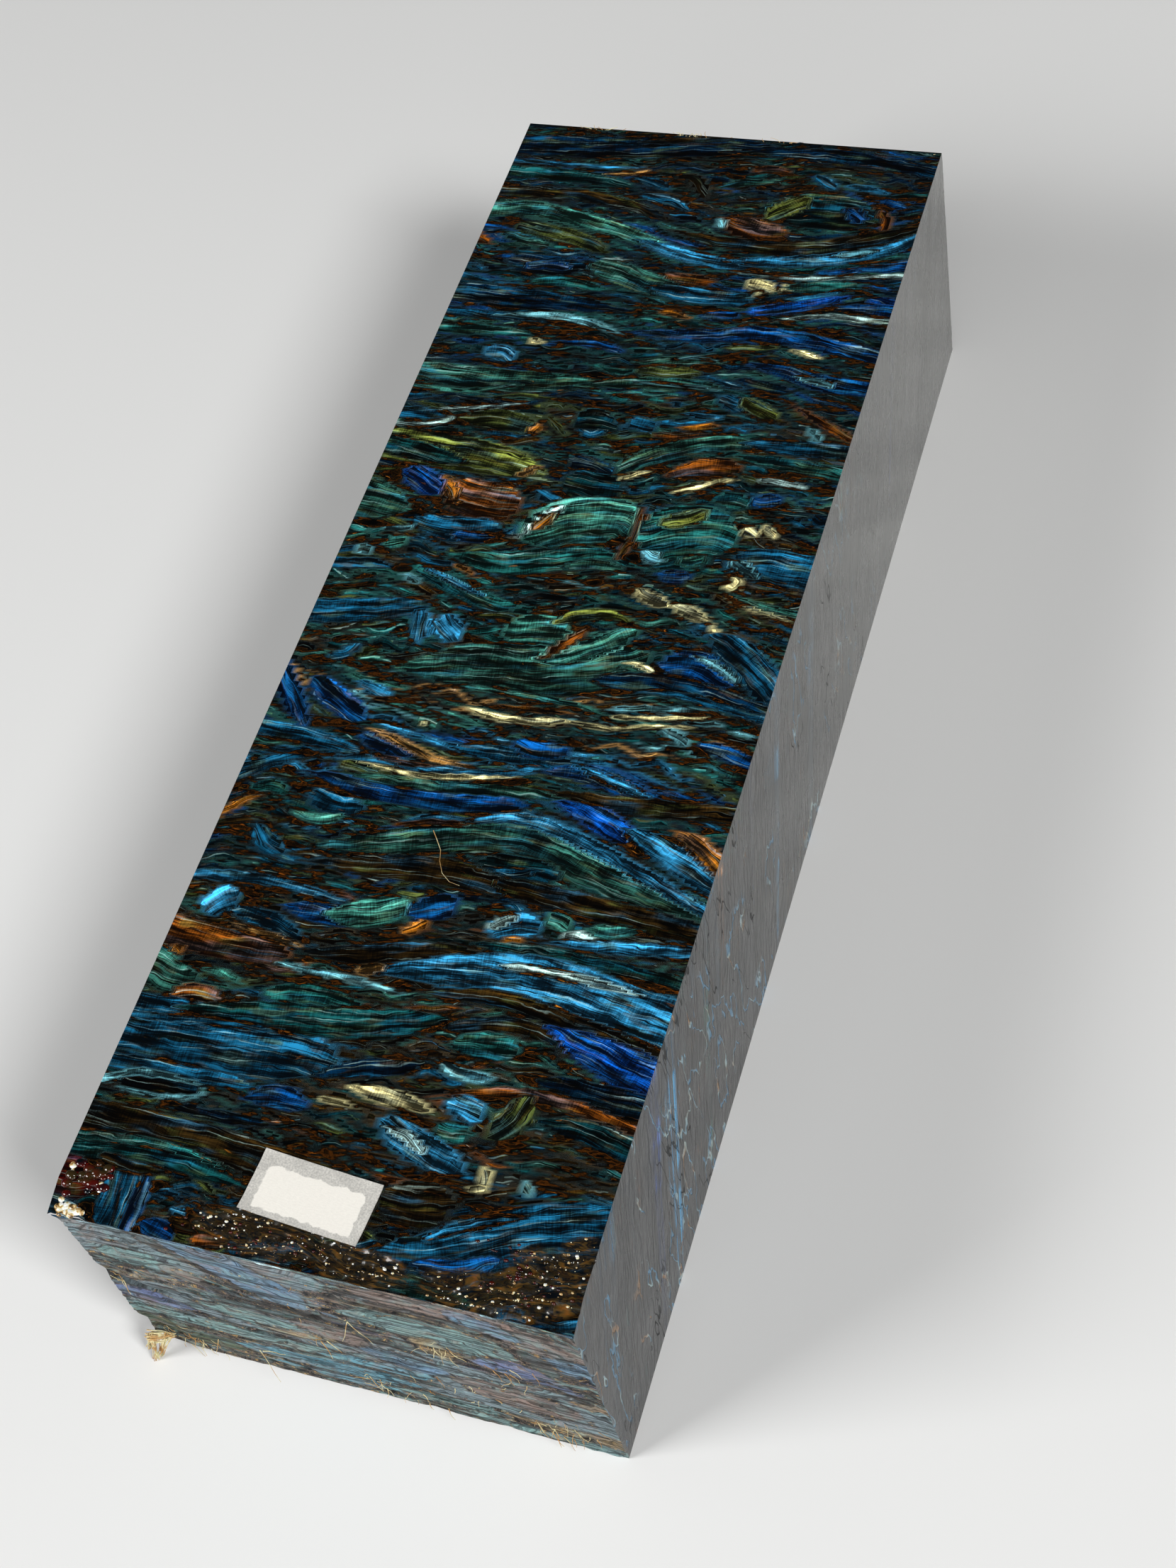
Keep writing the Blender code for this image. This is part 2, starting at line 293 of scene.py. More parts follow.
    ("teal", 7.0, (5.8, 9.4), (9.6, 10.9), (13, 11.4), (15, 10.9)),
    ("ice", 1.4, (6, 9), (7.4, 8.4), (8.8, 8.1)),
    ("sea", 1.1, (10, 8.4), (11.4, 8.5), (12.8, 9.4)),
    ("moss", 1.6, (7.2, 12.4), (9.4, 13.3), (11.6, 14.6)),
    ("cobalt", 1.4, (8.6, 6.6), (10.2, 6.4), (12, 6.9)),
    ("cream", 1.1, (15, 13.1), (15.9, 12.7), (16.7, 12.2)),
    ("cream", 1.0, (16.7, 13.6), (17.8, 12.9), (18.6, 12.2)),
    ("steel", 3.4, (14.2, 8.2), (18, 9.1), (22.4, 8.8)),
    ("ice", 1.1, (15, 9.2), (16.6, 8.2), (18, 7.4)),
    ("cream", 0.5, (15.1, 7.3), (16.1, 7), (15.8, 6.1), (15.1, 6.4)),
    ("slate", 1.1, (-0.4, 5.9), (2.4, 6.7), (5.6, 6.6)),
    ("ice", 0.35, (-4.4, 4.1), (0, 4.4), (4, 3.8)),
    ("cream", 1.2, (6.8, 4.7), (8.4, 3.8), (10.8, 3)),
    ("cream", 1.3, (11, 3.2), (13, 2.6), (15, 2.1)),
    ("cream", 0.5, (14.8, 2.2), (15.7, 0.6), (17.2, -0.3)),
    ("sea", 0.8, (14.6, 5.7), (18.6, 4.5), (22, 4)),
    ("cream", 0.3, (15, 5), (18.8, 3.9), (22, 3.2)),
    ("teal", 1.9, (-15, 4), (-10.4, 2.3), (-5.6, 0.7), (-3, 0.8)),
    ("sky", 0.5, (-13.6, 3.9), (-9.8, 2.5), (-6, 1.2)),
    ("ice", 0.8, (-15.4, 2.6), (-14.2, 2.3), (-13.2, 1.9)),
    ("steel", 1.1, (-22, 3), (-18.6, 3.5), (-16.2, 3.3)),
    ("gold", 0.4, (-11, 4.6), (-9.4, 4.1), (-8, 3.3)),
    ("steel", 2.4, (-23, -3), (-17.4, -2), (-11, -0.3)),
    ("sky", 1.8, (-12, -0.9), (-11.5, -3), (-11.1, -5.2)),
    ("sky", 2.3, (-10.1, -1.4), (-8.8, -2.8), (-7.4, -4)),
    ("steel", 1.1, (-19.4, -8.1), (-17.6, -7.2), (-16.4, -5.8)),
    ("sea", 3.7, (-4, -2.4), (-0.6, -1.9), (3, -1.7)),
    ("moss", 1.0, (0.4, -0.9), (2.6, 0.6), (6, 1.2), (8.6, 0.4)),
    ("slate", 5.0, (-13, -8), (-5.6, -6.6), (1.6, -5.9), (8.4, -4), (11, -2.4)),
    ("sea", 2.0, (0, -4.9), (4.6, -3), (8.8, 0)),
    ("rust", 0.7, (0.6, -5), (2.6, -2.6), (4.6, -0.4)),
    ("cobalt", 2.7, (11.4, -3.4), (15, -2.9), (19, -4.6)),
    ("steel", 3.2, (15, 0.7), (19, -1.6), (23, -5)),
    ("ice", 0.5, (14.4, -1.9), (17.4, -3), (19.6, -4.6)),
    ("cream", 0.35, (8.3, -3.8), (10, -3.9), (12, -4.9)),
    ("slate", 0.7, (8, -4.6), (9.4, -4.4), (10.8, -4.9)),
    ("navy", 1.9, (6, -6.1), (12, -5.6), (17, -6), (22, -7.2)),
    ("steel", 0.7, (9, -7), (14, -6.4), (22, -7.6)),
    # the fine lamellae
    ("ice", 0.6, (8.4, -9.1), (12.2, -8.3), (17.8, -7.6)),
    ("sea", 0.5, (-17.4, -9.3), (-13.6, -9.7), (-10, -10)),
    ("sea", 0.55, (-7, -8.9), (-1, -8.8), (5.4, -9.1), (9, -9.7)),
    ("cream", 0.7, (-4.5, -11), (-1.2, -11.6), (3, -11.4), (5.6, -10.8)),
    ("cream", 0.4, (5, -10.9), (9.2, -11), (13, -10.1), (17, -9.6)),
    ("gold", 0.35, (-2, -10.4), (2.4, -10.2), (6, -10)),
    ("cream", 0.3, (8.8, -9.9), (13.6, -9.1), (19, -8)),
    ("ice", 1.0, (13.7, -10.2), (15.4, -10.8), (17, -11.6)),
    ("cobalt", 1.4, (17.2, -11.2), (19.6, -11.6), (22, -12.2)),
    ("sky", 1.1, (-15.4, -9.9), (-13.4, -10.6), (-11.2, -11)),
    ("cobalt", 2.0, (-21.8, -11.4), (-20.2, -13.4), (-18, -15.9)),
    ("cobalt", 2.3, (-19.8, -10.3), (-16.6, -12.2), (-12.8, -14.1)),
    ("sea", 0.5, (-12, -12), (-9.6, -11.8), (-7, -12.3)),
    ("sea", 0.4, (-7, -11.7), (-3, -12.4), (0.6, -13.2)),
    ("slate", 1.2, (-8.8, -13.2), (-7.4, -13.2), (-6, -13.6)),
    ("cream", 0.5, (-7.8, -13.4), (-7, -13.4)),
    ("sky", 0.55, (-12.4, -14.2), (-8.6, -14.7), (-4.3, -15.4), (0.2, -16.2)),
    ("steel", 1.5, (-4, -15.4), (2, -15.3), (8, -15.2)),
    ("cobalt", 1.9, (4, -16.4), (9.6, -16), (14, -17.4), (18, -18.6)),
    ("sky", 0.7, (7, -15.2), (11, -16.3), (16.4, -18)),
    ("cobalt", 1.7, (1.2, -13.8), (3.6, -14.4), (7, -13.9)),
    ("cobalt", 1.7, (-13.2, -15.7), (-10.4, -16.2), (-7.4, -17.1)),
    ("straw", 0.75, (-12.6, -14.8), (-9.2, -15.6), (-5.5, -16.9), (-1, -17.3)),
    ("steel", 1.5, (-22, -16.5), (-17, -16.7), (-12, -17.4)),
    ("steel", 1.6, (-22, -21.2), (-19.6, -19.8), (-16.6, -18.5)),
    ("olive", 1.3, (-13.8, -19.1), (-11.8, -19.2), (-9.4, -19.6)),
    ("sky", 0.9, (-16, -18.8), (-11.4, -17.9), (-4, -18), (4, -16.9)),
    ("cream", 0.5, (-12.4, -18.3), (-9, -18.7), (-5.5, -18.8), (-1, -18.2), (3.4, -17.4)),
    ("rust", 0.45, (-11, -17.6), (-7, -17.8), (-4.6, -17.6)),
    ("umber", 1.6, (6, -18.4), (12, -18.6), (22, -17.8)),
    ("cobalt", 2.0, (-17, -20.3), (-9, -21), (-2, -20.9), (5, -20.1)),
    ("slate", 1.0, (-13, -19.9), (-5, -19.7), (4, -18.9), (9, -19.2)),
    ("steel", 1.9, (-15.4, -22.4), (-12.4, -23.2), (-9.6, -23)),
    ("sea", 1.0, (-16.6, -24.6), (-13.6, -25), (-11, -24.2)),
    ("slate", 3.1, (-13.8, -27.8), (-6.4, -26), (-0.6, -24.3), (6, -23.8), (13, -25.8), (22, -27.8)),
    ("sky", 1.2, (-0.6, -22.8), (4.4, -21.5), (10, -22.6), (15, -24.4), (22, -27.2)),
    ("sky", 0.6, (-6, -23.7), (-3, -22.8), (0.4, -22.6)),
    ("rust", 0.35, (-7, -24.4), (-3.6, -23.4), (0, -23)),
    ("vivid", 2.2, (6.4, -19.1), (11, -20.3), (15.8, -22.4)),
    ("sky", 2.3, (13.4, -20.8), (17.4, -22.4), (23, -24.9)),
    ("gold", 1.7, (17.4, -20.2), (19.8, -21), (22, -22.4)),
    ("petrol", 2.0, (2, -26.4), (5.4, -26.3), (10, -26.6)),
    ("steel", 0.7, (3, -26.9), (5.6, -26.9), (7.8, -26.2)),
    ("teal", 1.2, (-21, -23), (-19, -22.4), (-17, -22.9)),
    ("gold", 0.5, (-22, -25.4), (-20.6, -24), (-19, -23.4)),
    ("steel", 1.9, (-19, -26.2), (-17.4, -28), (-15, -28.8)),
    ("umber", 2.4, (-14, -29.4), (-6, -28.4), (0, -28), (8, -28.9)),
    ("umber", 2.0, (4, -28.2), (12, -28.8), (22, -29.6)),
    # below the middle
    ("sky", 1.0, (-22, -32.4), (-16, -31.8), (-11, -32.1), (-7, -32.6)),
    ("cobalt", 1.8, (-13.8, -33.9), (-9.4, -34), (-5, -33.8)),
    ("sea", 2.6, (-10, -34), (-6, -33.3), (-1.8, -31.6)),
    ("cobalt", 2.3, (-2.4, -32.6), (-0.6, -31.8), (2, -30.6)),
    ("gold", 1.1, (-2.2, -34.6), (-1.2, -33.8), (-0.2, -32.8)),
    ("sky", 2.3, (5, -33), (7, -31.9), (9.8, -31.5)),
    ("pale", 0.45, (5.1, -32.6), (6.2, -31.5), (7.2, -30.9)),
    ("sea", 1.5, (9.4, -30.5), (10.8, -30.7), (12.2, -31.1)),
    ("pale", 1.0, (11.2, -31.9), (12.8, -31.9), (14.9, -32)),
    ("sea", 1.1, (13.4, -31), (15.6, -30.8), (18, -30.4)),
    ("sky", 1.0, (10, -32.9), (16, -32.3), (22, -31.5)),
    ("gold", 0.7, (6.2, -33.4), (8.6, -33.2)),
    ("deep_teal", 1.1, (4, -34.2), (13, -33.9), (22, -34.4)),
    ("sky", 2.4, (-20.3, -36), (-19, -34.4), (-17.6, -33.4)),
    ("steel", 1.5, (-18, -35.2), (-13.8, -35.6), (-10.2, -36.9)),
    ("rust", 2.6, (-22, -38.2), (-16, -38.5), (-10.4, -38.4)),
    ("straw", 0.5, (-18, -36.6), (-13.2, -37), (-9.8, -37.6)),
    ("umber", 1.7, (-10.6, -38), (-5.4, -37.2), (-1, -36.1), (6, -35)),
    ("ice", 0.6, (-12, -39.3), (-8, -39.7), (-4.3, -39.6), (0.4, -39.9)),
    ("teal", 1.5, (-12, -42.4), (-7.6, -41.6), (-2.4, -41.9)),
    ("slate", 3.2, (-22.8, -41.6), (-20.4, -42.4), (-17.8, -42)),
    ("gold", 0.8, (-21.4, -39.6), (-20.2, -40.2)),
    ("sea", 0.6, (-18.4, -41.3), (-16.4, -41.2), (-14, -41.9)),
    ("rust", 1.9, (-20.4, -44.6), (-17.8, -43.8), (-15, -43.8)),
    ("sky", 4.3, (-5, -38.8), (3, -37.2), (11, -36.6), (19, -37.8), (31, -39.6)),
    ("straw", 0.9, (-5.2, -38.8), (-3.6, -38.3), (-2.2, -37.8)),
    ("pale", 0.7, (7, -35.7), (13.6, -35.6), (20, -36.2)),
    ("umber", 1.4, (1, -39.6), (8, -38.8), (14, -39.6), (22, -41)),
    ("umber", 1.2, (4, -42.4), (9, -41), (14, -41.4), (15, -43.6)),
    ("vivid", 3.1, (12.4, -40.2), (17.4, -41.9), (24, -43.6)),
    ("navy", 1.9, (13, -45.2), (18, -45.5), (22, -45.7)),
    ("teal", 2.1, (4.8, -43.8), (7.6, -43.2), (11.6, -43)),
    ("ice", 1.0, (5, -45.4), (7.6, -46), (10.2, -45.8)),
    ("steel", 5.6, (-27, -47.8), (-15, -47.4), (-7, -47), (-2.4, -47.6)),
    ("deep_teal", 2.5, (-19.4, -45.2), (-10.6, -44.3), (-2, -43.3), (5, -41.3)),
    ("steel", 0.5, (-22, -46.6), (-15, -45.8), (-8, -45.4)),
    ("navy", 1.5, (-5.4, -49.1), (-1.6, -47.4), (2, -46.5), (4.4, -45.3)),
    ("rust", 0.9, (4, -49), (10, -47), (16, -46.7), (22, -47.8)),
    ("cream", 1.2, (-2.2, -48.9), (0.8, -49.2), (3.2, -49.3), (6, -49.8)),
    ("cream", 0.45, (-3.9, -50.5), (0, -50.7)),
    ("sky", 2.2, (6.6, -48.6), (8.6, -48.9), (10.3, -49.4)),
    ("teal", 1.5, (6.4, -50.8), (8.2, -51.1), (10, -50.8)),
    ("olive", 2.4, (10.8, -51), (12.6, -49), (13.4, -46.6)),
    ("petrol", 2.0, (14, -48.6), (18, -48.6), (22, -49.4)),
    ("steel", 1.2, (-22, -50.9), (-16, -50.8), (-9, -50.7)),
    ("ink", 1.3, (-21.4, -52.5), (-17, -52.4), (-13.4, -52.1)),
    ("ice", 0.55, (-22, -52.5), (-19.4, -51.5), (-15, -51.5), (-12.8, -51.9)),
    ("ice", 0.4, (-21.4, -53.2), (-17.8, -53.3), (-14.8, -52.9), (-13, -52)),
    ("cobalt", 1.9, (-10.2, -52), (-7.4, -51.2), (-4, -51.4)),
    ("navy", 0.9, (-17, -53.9), (-11, -53.9), (-6.4, -53.6)),
    ("sky", 2.5, (1.9, -51.2), (5.4, -52.7), (10.6, -54.2)),
    ("pale", 0.8, (2.6, -51.7), (5, -52.4), (6.8, -53.6)),
    ("cream", 0.6, (11.2, -53.3), (12, -54.2), (12.2, -55.4)),
    ("cream", 0.5, (10.9, -55.6), (12.6, -54.9)),
    ("ice", 0.6, (15, -53.9), (15.7, -54.5), (16.2, -55)),
    ("umber", 2.7, (-23, -56), (-12, -56.3), (-4, -56.8), (3, -57)),
    ("umber", 3.4, (3.6, -57.6), (7, -57.6), (10.6, -56.9)),
    ("teal", 0.9, (-22, -57.9), (-15, -57.4), (-8, -58.4)),
    ("deep_teal", 1.2, (-22, -59), (-14.6, -58.5), (-6.4, -59.2)),
    ("steel", 4.4, (5, -62.1), (10, -61.1), (14, -59.3), (18, -57.6), (22.4, -56.4)),
    ("sky", 0.8, (8.6, -60.4), (12, -58.2), (16.4, -56.6)),
    ("cobalt", 1.3, (8.4, -62.3), (12.4, -61.9), (15.6, -60.4)),
    # along the sawn edge
    ("oxblood", 3.8, (-22.6, -61.9), (-20.4, -61.7), (-18.2, -61.3)),
    ("navy", 2.2, (-22.4, -64.3), (-20.4, -64.4), (-18.4, -64.8)),
    ("steel", 3.8, (-16.6, -59.0), (-16.4, -62), (-16.2, -67)),
    ("cobalt", 1.2, (-15.2, -59.8), (-15, -62), (-15.3, -66)),
    ("umber", 0.9, (-20, -59.2), (-17, -59.6), (-13.4, -59.4)),
    ("cobalt", 1.7, (-14.4, -63.9), (-12.6, -64.3), (-11, -64.8)),
    ("sky", 0.7, (-12.2, -62.3), (-10.6, -62.6)),
    ("rust", 1.1, (-9.8, -64.5), (-8, -64.2), (-6.4, -63.8)),
    ("steel", 1.7, (-6.4, -64.6), (-3, -64), (0.6, -63.5)),
    ("teal", 1.0, (5.4, -64.2), (10, -64.2), (14.6, -64.4)),
    ("sky", 1.7, (16.2, -64.8), (17.4, -64.6), (18.8, -64.6)),
)
print(len(STRANDS), "large strands")

# %% [markdown]
# ## The block as a mesh
# The real block is sawn, so its mesh starts as one cube, cut into even cells with
# `subdivide_edges`. The strands of the top are long across the block and thin along it, so the top
# gets cells of 0.6 by 0.2 mm; the labelled end, which is seen close up, gets 0.3 mm ones, and the
# rest can stay coarse. Working in millimetres keeps the numbers readable, and one scale at the very
# end brings the block to metres.

# %% Cut a cube into cells, finest where the eye looks
CELLS = (25, 108, 24)
STRIP = 6.2
TINY = 1e-4
POLISHED, SATIN, SAWN = range(3)


def split_edges(bm, edges, parts):
    """Cuts each edge into equal parts, and fills each face whose edges all match with a grid."""
    bmesh.ops.subdivide_edges(bm, edges=edges, cuts=parts - 1, use_grid_fill=True)


def edges_along(faces, axis, shortest=0.0):
    """The edges of some faces that run along an axis and are longer than a length."""
    edges = {edge for face in faces for edge in face.edges}
    spans = [(edge, edge.verts[0].co - edge.verts[1].co) for edge in edges]
    return [edge for edge, span in spans if abs(span[axis]) > max(shortest, 0.9 * span.length)]


def facing(bm, axis, sign):
    return [face for face in bm.faces if sign * face.normal[axis] > 0.9]


block = bmesh.new()
bmesh.ops.create_cube(block, size=1.0)
bmesh.ops.scale(block, vec=block_high - block_low, verts=block.verts)
bmesh.ops.translate(block, vec=(block_high + block_low) / 2, verts=block.verts)
for axis, parts in enumerate(CELLS):
    split_edges(block, edges_along(block.faces, axis), parts)
block.normal_update()
for face in block.faces:
    face.material_index = SATIN
for axis, sign, finish in ((2, 1, POLISHED), (1, 1, SAWN), (1, -1, SAWN)):
    for face in facing(block, axis, sign):
        face.material_index = finish
print("cells after the first cuts:", len(block.faces))

# %% [markdown]
# ## Finer cells where they are seen
# A strand on the top can be half a millimetre wide, so the top needs finer cells than the foot.
# Each call below cuts only the edges of some faces that run along one axis. The faces next to them
# only gain a few corners on the shared edge, so the mesh stays closed. A Subdivision modifier
# would refine the whole block alike, at many times the faces.

# %% Refine the top, the ends and the sides
def refine(faces, axis, parts, shortest=0.0):
    split_edges(block, edges_along(faces, axis, shortest), parts)
    block.normal_update()


uncut = 0.8 * (BACK - FRONT) / CELLS[1]
refine(facing(block, 2, 1), 1, 6)
refine(facing(block, 2, 1) + facing(block, 1, -1), 0, 3)
refine(facing(block, 1, -1), 2, 4)
near = [f for f in facing(block, 2, 1) if f.calc_center_median().y < FRONT + STRIP]
refine(near + facing(block, 1, -1), 0, 2)
for axis in (1, 2):
    refine(facing(block, 0, 1), axis, 2, uncut)
for axis in (0, 2):
    refine(facing(block, 1, 1), axis, 2, uncut)
print("cells in the finished net:", len(block.faces))

# %% [markdown]
# ## What the saw and the hand did to it
# A real blank isn't a perfect box. The labelled end is sawn across the layers and left rough, with
# grooves along the layers and hollows where crumbs tore out. Its left corner is splintered, its
# foot is torn, and a split runs in between two layers. Near that end the top shows open grain:
# small burst bubbles in the resin. All of it is made by moving points, so it can be seen from any
# side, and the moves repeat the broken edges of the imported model.

# %% Relief of the sawn ends, in millimetres
SAW_GROOVE = 0.14
SAW_PITCH = 0.9
HAIR_GROOVE = 0.07
HAIR_PITCH = 0.32
CRUMB = 0.42
CRUMB_SIZE = Vector((2.6, 1.0, 0.55))
SWELL = 0.16


def lump(x, y, z):
    """Smooth noise from 0 to 1."""
    return 0.5 + 0.5 * noise.noise(Vector((x, y, z)))


def between(value, low, high):
    """0 up to a low value, 1 from a high one, and smooth from one to the other."""
    share = min(1.0, max(0.0, (value - low) / (high - low)))
    return share * share * (3 - 2 * share)


def sawn_depth(x, z, side):
    """How deep the sawn face lies under its plane."""
    wander = 0.5 * lump(x / 7, side, z / 3)
    groove = lump(x / 18, side, (z + wander) / SAW_PITCH) * SAW_GROOVE
    hair = lump(x / 5, side + 3, (z + wander) / HAIR_PITCH) * HAIR_GROOVE
    torn = between(lump(x / CRUMB_SIZE.x, side + 7, (z + wander) / CRUMB_SIZE.z), 0.60, 0.86)
    swell = lump(x / 9, side + 11, z / 5) * SWELL
    return groove + hair + CRUMB * torn + swell


print("deepest groove about", round(SAW_GROOVE + HAIR_GROOVE + CRUMB + SWELL, 2), "mm")

# %% [markdown]
# ## Open grain
# Beside the label the wood is soft, and polishing tears crumbs out of it and opens small bubbles.
# Voronoi noise gives the distance to the nearest of many scattered points, and a bowl drawn on
# that distance makes a round hollow about each point. It costs no extra faces.

# %% Relief of the open grain on the top
OPEN_GRAIN = (  # centre across, centre along, half its width, half its depth
    (-3.4, -62.6, 6.4, 2.0), (4.6, -63.5, 4.4, 1.7), (15.4, -63.4, 6.0, 1.8), (19.2, -61.4, 3.8, 2.9),
    (21.4, -58.8, 1.7, 1.7),
)
BUBBLE_SIZE = 0.85
BUBBLE_DEPTH = 0.34
GRAIN_DEPTH = 0.20
CORNER_DROP = 0.8
CORNER_REACH = 3.2
BACK_WEAR = 0.45


def open_grain(x, y):
    """1 in a patch of open grain, falling to 0 at its frayed edge."""
    away = min(((x - cx) / rx) ** 2 + ((y - cy) / ry) ** 2 for cx, cy, rx, ry in OPEN_GRAIN)
    return between(1.15 - away - 0.7 * (lump(x / 1.8, y / 1.2, 5) - 0.5), 0.0, 0.45)


def bubble(x, y):
    """The depth of the round hollow at a place, 0 between the hollows."""
    spread = noise.voronoi(Vector((x / BUBBLE_SIZE, y / (0.7 * BUBBLE_SIZE), 2)))[0]
    return BUBBLE_DEPTH * max(0.0, 1 - (spread[0] / 0.42) ** 2)


def top_depth(x, y):
    """How far the top lies under its plane."""
    openness = open_grain(x, y)
    depth = openness * (bubble(x, y) + GRAIN_DEPTH * lump(x / 1.3, y / 0.7, 8))
    for side in (LEFT, RIGHT):
        depth += CORNER_DROP * max(0.0, 1 - math.hypot(x - side, y - FRONT) / CORNER_REACH)
    return depth


print("open grain at the label's front corner:", round(open_grain(-2, -62), 2))

# %% [markdown]
# ## Broken edges and a split
# The profiles of the torn edges are short tables of a place and an amount, the same ones that the
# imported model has, and `interp` reads between their rows. Points near a moved edge follow it by
# less and less, so the cells stay even. The split is a hollow whose lips close along its run.

# %% The broken edges and the split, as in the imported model
LEFT_EDGE = (  # height, how far the corner of the labelled end is set in there
    (0, 1.2), (5.9, 1.7), (6.4, 0.95), (8, 0.75), (15.2, 1.2), (17.6, 1.8), (18.4, 1.1), (28.4, 1.1),
)
FOOT_EDGE = (  # place across, how high the torn foot of the labelled end is there
    (-22.5, 3.2), (-19.8, 2.2), (-17.8, 1.35), (0, 1.25), (5, 1.0), (22.5, 0),
)
CROWDING = 8
TEETH = 0.42
SPLIT_MOUTH = 1.9
SPLIT_LENGTH = 5.6
SPLIT_DEPTH = 2.6
SPLIT_HEIGHT = 16.3
SPLIT_FALL = 2.1


def along_profile(profile, place):
    places, values = zip(*profile)
    return float(np.interp(place, places, values))


def crowded(away, moved):
    """How far a point moves when an edge that is this far away moves by an amount."""
    return moved * max(0.0, 1 - away / CROWDING)


def split_at(x, y, z):
    """1 in the middle of the split between two layers, 0 at its lips and outside it."""
    run = (x - LEFT) / SPLIT_LENGTH + (y - FRONT) / SPLIT_DEPTH
    middle = SPLIT_HEIGHT - SPLIT_FALL * (x - LEFT) / SPLIT_LENGTH + 0.3 * (lump(x, 0, 4) - 0.5)
    half = SPLIT_MOUTH / 2 * (1 - run)
    if half <= 0.02:
        return 0.0
    return max(0.0, 1 - (abs(z - middle) / half) ** 2) ** 0.5


def worn(was):
    """Where a point of the sharp block ends up on the real one."""
    now = was.copy()
    on_front, on_back = was.y < FRONT + TINY, was.y > BACK - TINY
    on_left, on_top = was.x < LEFT + TINY, was.z > TOP - TINY
    edge_fade = between(min(was.z, TOP - was.z, was.x - LEFT, RIGHT - was.x), 0.0, 0.9)
    if on_top:
        now.z -= top_depth(was.x, was.y)
    if on_front:
        now.y += sawn_depth(was.x, was.z, 1) * (0.45 + 0.55 * edge_fade)
        tooth = TEETH * (lump(0, 3, was.z / 0.5) - 0.5) * between(was.z, 0.5, 2)
        now.x += crowded(was.x - LEFT, along_profile(LEFT_EDGE, was.z) + tooth)
        now.z += crowded(was.z, along_profile(FOOT_EDGE, was.x) + 0.5 * (lump(was.x / 1.1, 5, 0) - 0.5))
        if was.z < TINY:
            now.z = max(0.0, now.z)
    if on_back:
        now.y -= sawn_depth(was.x, was.z, 21) * (0.3 + 0.7 * edge_fade)
        if on_top:
            wear = BACK_WEAR * lump(was.x / 1.7, 6, 0) + 0.35 * (lump(was.x / 0.6, 7, 0) - 0.35)
            now.y -= max(0.0, wear)
            now.z -= 0.3 * max(0.0, wear)
    if on_front or on_left:
        opened = split_at(was.x, was.y, was.z)
        now.y += on_front * SPLIT_DEPTH * opened
        now.x += on_left * 0.8 * SPLIT_DEPTH * opened
    return now


sharp = np.array([vert.co for vert in block.verts])
for vert in block.verts:
    vert.co = worn(vert.co)
print("points moved:", len(block.verts))

# %% [markdown]
# ## Where each point lies among the strands
# The strands were laid flat and pressed, then the block was sawn at a slant, so a strand that
# shows on the top dives into the block at about 70 degrees and comes out again on the sides and
# the far end. Each point is therefore followed along its layer up to the top, and takes its place
# there among the strands: how far along one, how far across it, and how far inside its edge. The
# labelled end is seen square on, so it has strands of its own. These places are kept on the mesh
# as attributes, and the finish reads them.

# %% Draw a strand's middle line and measure points against it
LINE_STEP = 0.5
OVERHANG = 7.0


def smooth_line(corners):
    """Points along a smooth line through the given ones; one that reaches a side runs past it."""
    knots = [Vector(corner) for corner in corners]
    for end, before in ((0, 1), (-1, -2)):
        if abs(knots[end].x) > RIGHT - 1:
            further = knots[end] + (knots[end] - knots[before]).normalized() * OVERHANG
            knots.insert(0 if end == 0 else len(knots), further)
    knots = [2 * knots[0] - knots[1], *knots, 2 * knots[-1] - knots[-2]]
    line = []
    for a, b, c, d in zip(knots, knots[1:], knots[2:], knots[3:]):
        count = max(2, math.ceil((c - b).length / LINE_STEP))
        for t in (k / count for k in range(count)):
            curve = (2 * a - 5 * b + 4 * c - d) * t * t + (3 * b - a - 3 * c + d) * t**3
            line.append(0.5 * (2 * b + (c - a) * t + curve))
    return np.array([*line, knots[-2]])


def measured(line, width, shape, places):
    """How far along, across and inside a strand each place lies, and which way it runs there."""
    leg = np.gradient(line, axis=0)
    length = np.concatenate(([0], np.cumsum(np.linalg.norm(np.diff(line, axis=0), axis=1))))
    heading = leg / np.linalg.norm(leg, axis=1)[:, None]
    away = places[:, None, :] - line[None, :, :]
    nearest = np.argmin((away**2).sum(axis=2), axis=1)
    offset = away[np.arange(len(places)), nearest]
    course = heading[nearest]
    along = length[nearest] + (offset * course).sum(axis=1)
    across = offset[:, 1] * course[:, 0] - offset[:, 0] * course[:, 1]
    fullness, lean = shape
    share = np.clip(along / length[-1], 0, 1) ** lean
    half = width / 2 * (1 - np.abs(2 * share - 1) ** fullness)
    beyond = np.maximum(np.maximum(-along, along - length[-1]), 0)
    return along, across, half - np.hypot(across, beyond), course, line[nearest, 1]


print("the first strand's line has", len(smooth_line(STRANDS[0][2:])), "points")

# %% [markdown]
# ## Layouts
# A layout holds places on a flat face and what is known at each: the strand it lies in, how far
# inside its edge, and how the strands near it run. To lay a strand changes only the places within
# its reach, which keeps thousands of strands quick. A dark seam is left between neighbours.

# %% A layout: places, and what is known there about the strands laid so far
BEND_REACH = 3.5
SEAM = 0.10
NUMBER_STEP = 37


